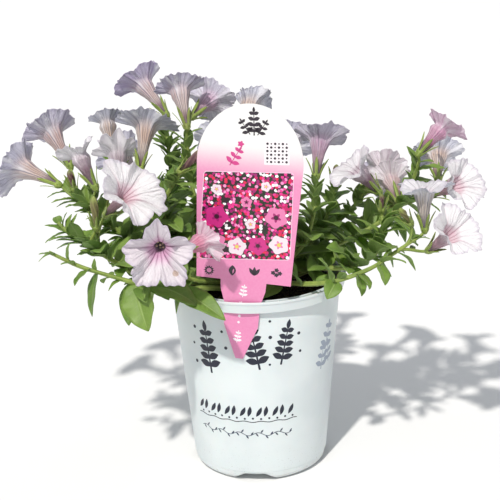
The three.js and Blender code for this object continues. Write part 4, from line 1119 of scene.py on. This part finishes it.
INSIDES = {
    "lilac": ("#D2CCDB", "#C4A4C4", "#7E4878", "#4B2140"),
    "white": ("#EDEAEF", "#E0CCD8", "#A0608A", "#7C4466", 0.74),
    "rose": ("#F0EDF0", "#EAC4D2", "#BC6488", "#D296AC", 0.7),
    "front": ("#E6DDE3", "#D89AC4", "#A64C8C", "#6A3A62", 0.73, (-55.5, 203.0)),
    "pink": ("#DCA8C8", "#C878AA", "#8E3A70", "#5A1F44"),
    "dark": ("#C2BCCA", "#98829C", "#6C4468", "#3A1830"),
}
LOOKS = (
    ("lilac", "lilac", 0.06), ("mauve", "lilac", 0.07), ("white", "white", 0.24), ("grey", "dark", 0.07),
    ("grey", "lilac", 0.06), ("violet", "lilac", 0.08), ("mauve", "lilac", 0.07), ("blush", "white", 0.08),
    ("white", "rose", 0.1), ("lilac", "front", 0.075), ("pink", "rose", 0.12), ("white", "white", 0.22),
    ("grey", "lilac", 0.09), ("blush", "lilac", 0.07), ("white", "white", 0.12), ("rose", "white", 0.1),
    ("rose", "rose", 0.1), ("hot", "pink", 0.1), ("grey", "white", 0.08), ("blue", "white", 0.06),
    ("white", "rose", 0.08), ("white", "rose", 0.06), ("lilac", "lilac", 0.06), ("grey", "lilac", 0.06),
    ("lilac", "white", 0.06), ("mauve", "lilac", 0.06),
)
# A bloom whose lobes were measured: its spin and the reach of each lobe, as shares of the limb.
LOBES = {10: (18, (0.92, 0.88, 0.86, 0.91, 0.98)), 13: (0, (0.6, 0.62, 0.8, 0.75, 0.6)),
         18: (10, (1.35, 1.2, 1.3, 1.4, 1.25))}
# By bloom: how deep its limb is notched, how narrow its throat is, and how far its rim droops.
NOTCHES, THROATS = {10: 0.3, 3: 0.3, 12: 0.3}, {10: 0.76, 9: 0.85}
DROOPS = {5: 0.1, 7: 0.05, 20: 0.08, 8: 0.1}
COROLLA_Z = (0, 0.05, 0.14, 0.3, 0.5, 0.66, 0.8, 0.9, 0.96, 0.985)
COROLLA_AROUND, COROLLA_ALONG, PETAL_THICK = 180, 34, 0.3
OUTSIDE, INSIDE, ANTHER = range(3)


def add_stamens(form, seat, axis, u, w, length, rng):
    """Five stamens around a style, from the floor of the tube."""
    floor = seat + axis * (0.16 * length)
    for k in range(6):
        b = TAU * k / 5 + 0.5 + rng.uniform(-0.2, 0.2)
        r = u * math.cos(b) + w * math.sin(b)
        if k < 5:
            tip, spread, thick, size = rng.uniform(0.44, 0.53), 2.6, 0.28, (0.25, 0.7, 0.85, 0.6, 0.15)
        else:
            tip, spread, thick, size = 0.5, 0.3, 0.36, (0.3, 0.75, 1.0, 0.8, 0.25)
        points = [floor + axis * (length * (tip - 0.16) * y) + r * (1.6 + (spread - 1.6) * y)
                  for y in np.linspace(0, 1, 7)]
        form.tube(points, thick, 6, ANTHER)
        way = unit(points[-1] - points[-2])
        form.tube([points[-1] + way * y for y in (-0.2, 0.2, 0.7, 1.3, 1.6)], size, 8, ANTHER)


def corolla(n, row, skins):
    seat, axis, length, limb, _, _, spin, _ = row
    outside, inside, crumple = LOOKS[n - 1]
    rng = np.random.default_rng(500 + n)
    lobe_spin, reach = LOBES.get(n, (spin, None))
    reach = np.array(reach) if reach else 1 + rng.uniform(-0.08, 0.06, 5)
    u, w = sideways(axis, lobe_spin)
    narrow = THROATS.get(n, 1)
    radii = (TUBE_R, 2.55, 3.0, 4.1 * narrow, THROAT_R * narrow, 7.4 * narrow, FLARE_LIMB * limb, 0.68 * limb,
             0.88 * limb, limb)
    outline = Spline(list(zip(np.array(COROLLA_Z) * length, radii)))
    line = np.array([outline.at(x) for x in np.linspace(0, 1, COROLLA_ALONG)])
    run = np.concatenate([[0], np.cumsum(np.linalg.norm(np.diff(line, axis=0), axis=1))])
    run /= run[-1]
    T, A = np.meshgrid(run, TAU * np.arange(COROLLA_AROUND) / COROLLA_AROUND, indexing="ij")
    share = smooth(0.5, 1.0, T)
    off = A - np.round(A / (TAU / 5)) * (TAU / 5)
    lobe = (1 - NOTCHES.get(n, 0.21) * (1 - abs(np.cos(2.5 * A))) ** 1.7
            + (0.12 if n in LOBES else 0.07) * np.exp(-(off / 0.12) ** 2))
    scale = np.interp(A, np.arange(6) * TAU / 5, np.append(reach, reach[0]))
    radius = line[:, 1][:, None] * mix(1, lobe * scale, share)
    ruffle = 0
    for _ in range(5):
        waves, phase, size = rng.integers(4, 13), rng.uniform(0, TAU), rng.uniform(0.5, 1.0)
        ruffle = ruffle + size * (1.6 * abs(np.sin(0.5 * waves * A + phase + 1.6 * T)) - 1)
    margin = sum(rng.uniform(0.4, 1) * np.sin(k * A + rng.uniform(0, TAU)) for k in (13, 19, 26))
    broad = rng.uniform(0, TAU)
    height = line[:, 0][:, None] + limb * (
        -share * LIMB_RUFFLE * np.cos(5 * A) + ruffle * crumple * 0.42 * share ** 2 + 0.022 * margin * T ** 8
        - DROOPS.get(n, 0) * share ** 2.5 + crumple * 0.9 * share * np.cos(2 * A + broad)
        - 0.035 * np.exp(-(off / 0.07) ** 2) * smooth(0.3, 0.6, T) * smooth(1.05, 0.8, T)
        + 0.009 * np.cos(30 * A + 2 * np.sin(3 * A + broad)) * share)
    radius = radius * (1 + 0.016 * np.roll(margin, 7, 1) * T ** 8)
    radius = radius * (1 + 0.03 * np.cos(5 * A) * (1 - share) * smooth(0.05, 0.3, T)
                       + 0.008 * np.cos(40 * A) * (1 - share))
    twist = A + 0.03 * np.sin(3 * A + broad) * share
    sag = np.array([0, 0, -1.0]) - axis * -axis[2] + 0.5 * rng.normal(size=3)
    sag = unit(sag - axis * (sag @ axis)) * rng.uniform(0.02, 0.07) * length
    grid = (seat + height[..., None] * axis + (T ** 2)[..., None] * sag
            + (radius * np.cos(twist))[..., None] * u + (radius * np.sin(twist))[..., None] * w)
    normal = units(np.cross(np.roll(grid, -1, 1) - np.roll(grid, 1, 1), np.gradient(grid, axis=0)))
    inner = (grid - normal * (PETAL_THICK * (1 - 0.55 * smooth(0.9, 1.0, T)))[..., None])[::-1]
    rings = np.concatenate([grid, inner[:-1]])
    slots = np.full(len(rings) - 1, OUTSIDE)
    slots[COROLLA_ALONG - 1:] = INSIDE
    form = Form()
    form.loft(rings, slots[:, None], None, np.concatenate([run, run[::-1][:-1]]))
    add_stamens(form, seat, axis, u, w, length, rng)
    form.build("corolla_%02d" % n, [skins["out " + outside], skins["in " + inside], skins["anther"]], "petal",
               "bloom_%02d" % n)


def furled_bud(n, row, skins):
    seat, axis, length, radius, _, _, spin, _ = row
    u, w = sideways(axis, spin)
    t = np.linspace(0, 1, 30)
    r = radius * np.interp(t, (0, 0.1, 0.35, 0.7, 0.86, 0.96, 1), (0.5, 0.56, 0.76, 1.0, 0.82, 0.42, 0.16))
    r = np.convolve(np.pad(r, 1, "edge"), (0.25, 0.5, 0.25), "valid")
    T, A = np.meshgrid(t, TAU * np.arange(50) / 50, indexing="ij")
    spiral = A + 2.2 * T
    shape = r[:, None] * (1 + 0.12 * np.cos(5 * spiral) * smooth(0.05, 0.5, T)
                          + 0.03 * np.cos(10 * spiral + 1))
    bend = 0.025 * length * np.sin(np.pi * T * 0.5) ** 2
    form = Form()
    form.loft(seat + (T * length)[..., None] * axis + (shape * np.cos(A))[..., None] * u
              + (shape * np.sin(A) + bend)[..., None] * w)
    form.build("furled_bud_%02d" % n, [skins["bud green" if n in (2, 4) else "bud"]], "bud", "bud_%02d" % n)


def blooms():
    skins = {"out " + name: outer_skin("petal_outside_" + name, *codes) for name, codes in OUTSIDES.items()}
    for name, codes in INSIDES.items():
        skins["in " + name] = inner_skin("petal_inside_" + name, *codes)
    skins["anther"] = anther_skin()
    skins["bud"] = bud_skin("bud_purple", "#5A3A42", "#8A6A62", "#7C8C48")
    skins["bud green"] = bud_skin("bud_olive", "#6B6440", "#8C8A50", "#8FA04C")
    for n, row in enumerate(BLOOMS, 1):
        corolla(n, row, skins)
    for n, row in enumerate(BUDS, 1):
        furled_bud(n, row, skins)


# ---------------------------------------------------------------- stage, lights and camera
CAMERA_AT, CAMERA_LENS = (0.032, -1.032, 0.528), 95.87
CAMERA_YAW, CAMERA_PITCH, CAMERA_ROLL = -0.035, 0.323, -0.031
FLOOR_HALF, FLOOR_TILES, FLOOR_Z = 40.0, 40, -0.0004
SUN_AT, SUN_POWER, SUN_ANGLE = (-18, 52), 3.25, 2.2
# The heights between which the sky's light changes, and its strength below and above them.
SKY_SPAN = (0.03, 0.12, 1.1, 0.62)


def link(name, data):
    item = bpy.data.objects.new(name, data)
    bpy.context.collection.objects.link(item)
    return item


def camera():
    """The photograph's viewpoint, fitted to the pot's rim, foot and outline."""
    yaw, pitch, roll = CAMERA_YAW, CAMERA_PITCH, CAMERA_ROLL
    look = Vector((math.sin(yaw) * math.cos(pitch), math.cos(yaw) * math.cos(pitch), -math.sin(pitch)))
    right = Vector((math.cos(yaw), -math.sin(yaw), 0))
    up = right.cross(look)
    x, y = math.cos(roll) * right + math.sin(roll) * up, -math.sin(roll) * right + math.cos(roll) * up
    lens_data = bpy.data.cameras.new("camera")
    lens_data.sensor_width, lens_data.lens = 36, CAMERA_LENS
    lens_data.clip_start, lens_data.clip_end = 0.05, 120
    eye = link("camera", lens_data)
    eye.matrix_world = Matrix((x, y, -look)).transposed().to_4x4()
    eye.location = CAMERA_AT
    bpy.context.scene.camera = eye


def stage():
    s = Shader("studio_floor")
    skin = s.finish(s.coats("#E4E4E4", (s.span(s.noise(3), 0.3, 0.7), "#E8E8E8")), 0.9)
    n, mesh = FLOOR_TILES, bpy.data.meshes.new("studio_floor")
    ticks = np.linspace(-FLOOR_HALF, FLOOR_HALF, n + 1)
    tiles = [[j * (n + 1) + i + step for step in (0, 1, n + 2, n + 1)] for j in range(n) for i in range(n)]
    mesh.from_pydata([(x, y, FLOOR_Z) for y in ticks for x in ticks], [], tiles)
    mesh.materials.append(skin)
    link("studio_floor", mesh)

    world = bpy.data.worlds.new("studio")
    world.use_nodes = True
    nodes, links = world.node_tree.nodes, world.node_tree.links
    sky, way, split, rise = nodes["Background"], *(nodes.new("ShaderNode" + kind) for kind in (
        "TexCoord", "SeparateXYZ", "MapRange"))
    sky.inputs["Color"].default_value = colour("#EEF2F8")
    for index, value in enumerate(SKY_SPAN, 1):
        rise.inputs[index].default_value = value
    links.new(way.outputs["Generated"], split.inputs[0])
    links.new(split.outputs[2], rise.inputs[0])
    links.new(rise.outputs[0], sky.inputs["Strength"])
    bpy.context.scene.world = world
    bpy.context.scene.view_settings.view_transform = "Standard"
    light = bpy.data.lights.new("key", "SUN")
    light.energy, light.angle, light.color = SUN_POWER, math.radians(SUN_ANGLE), colour("#FFFBF4")[:3]
    link("key", light).rotation_euler = Vector(heading(*SUN_AT)).to_track_quat("Z", "Y").to_euler()


camera()
stage()
pot()
pot_print()
dress("label", label_card())
label_print()
soil()
claim_stems_and_flowers()
plant(place_leaves())
blooms()
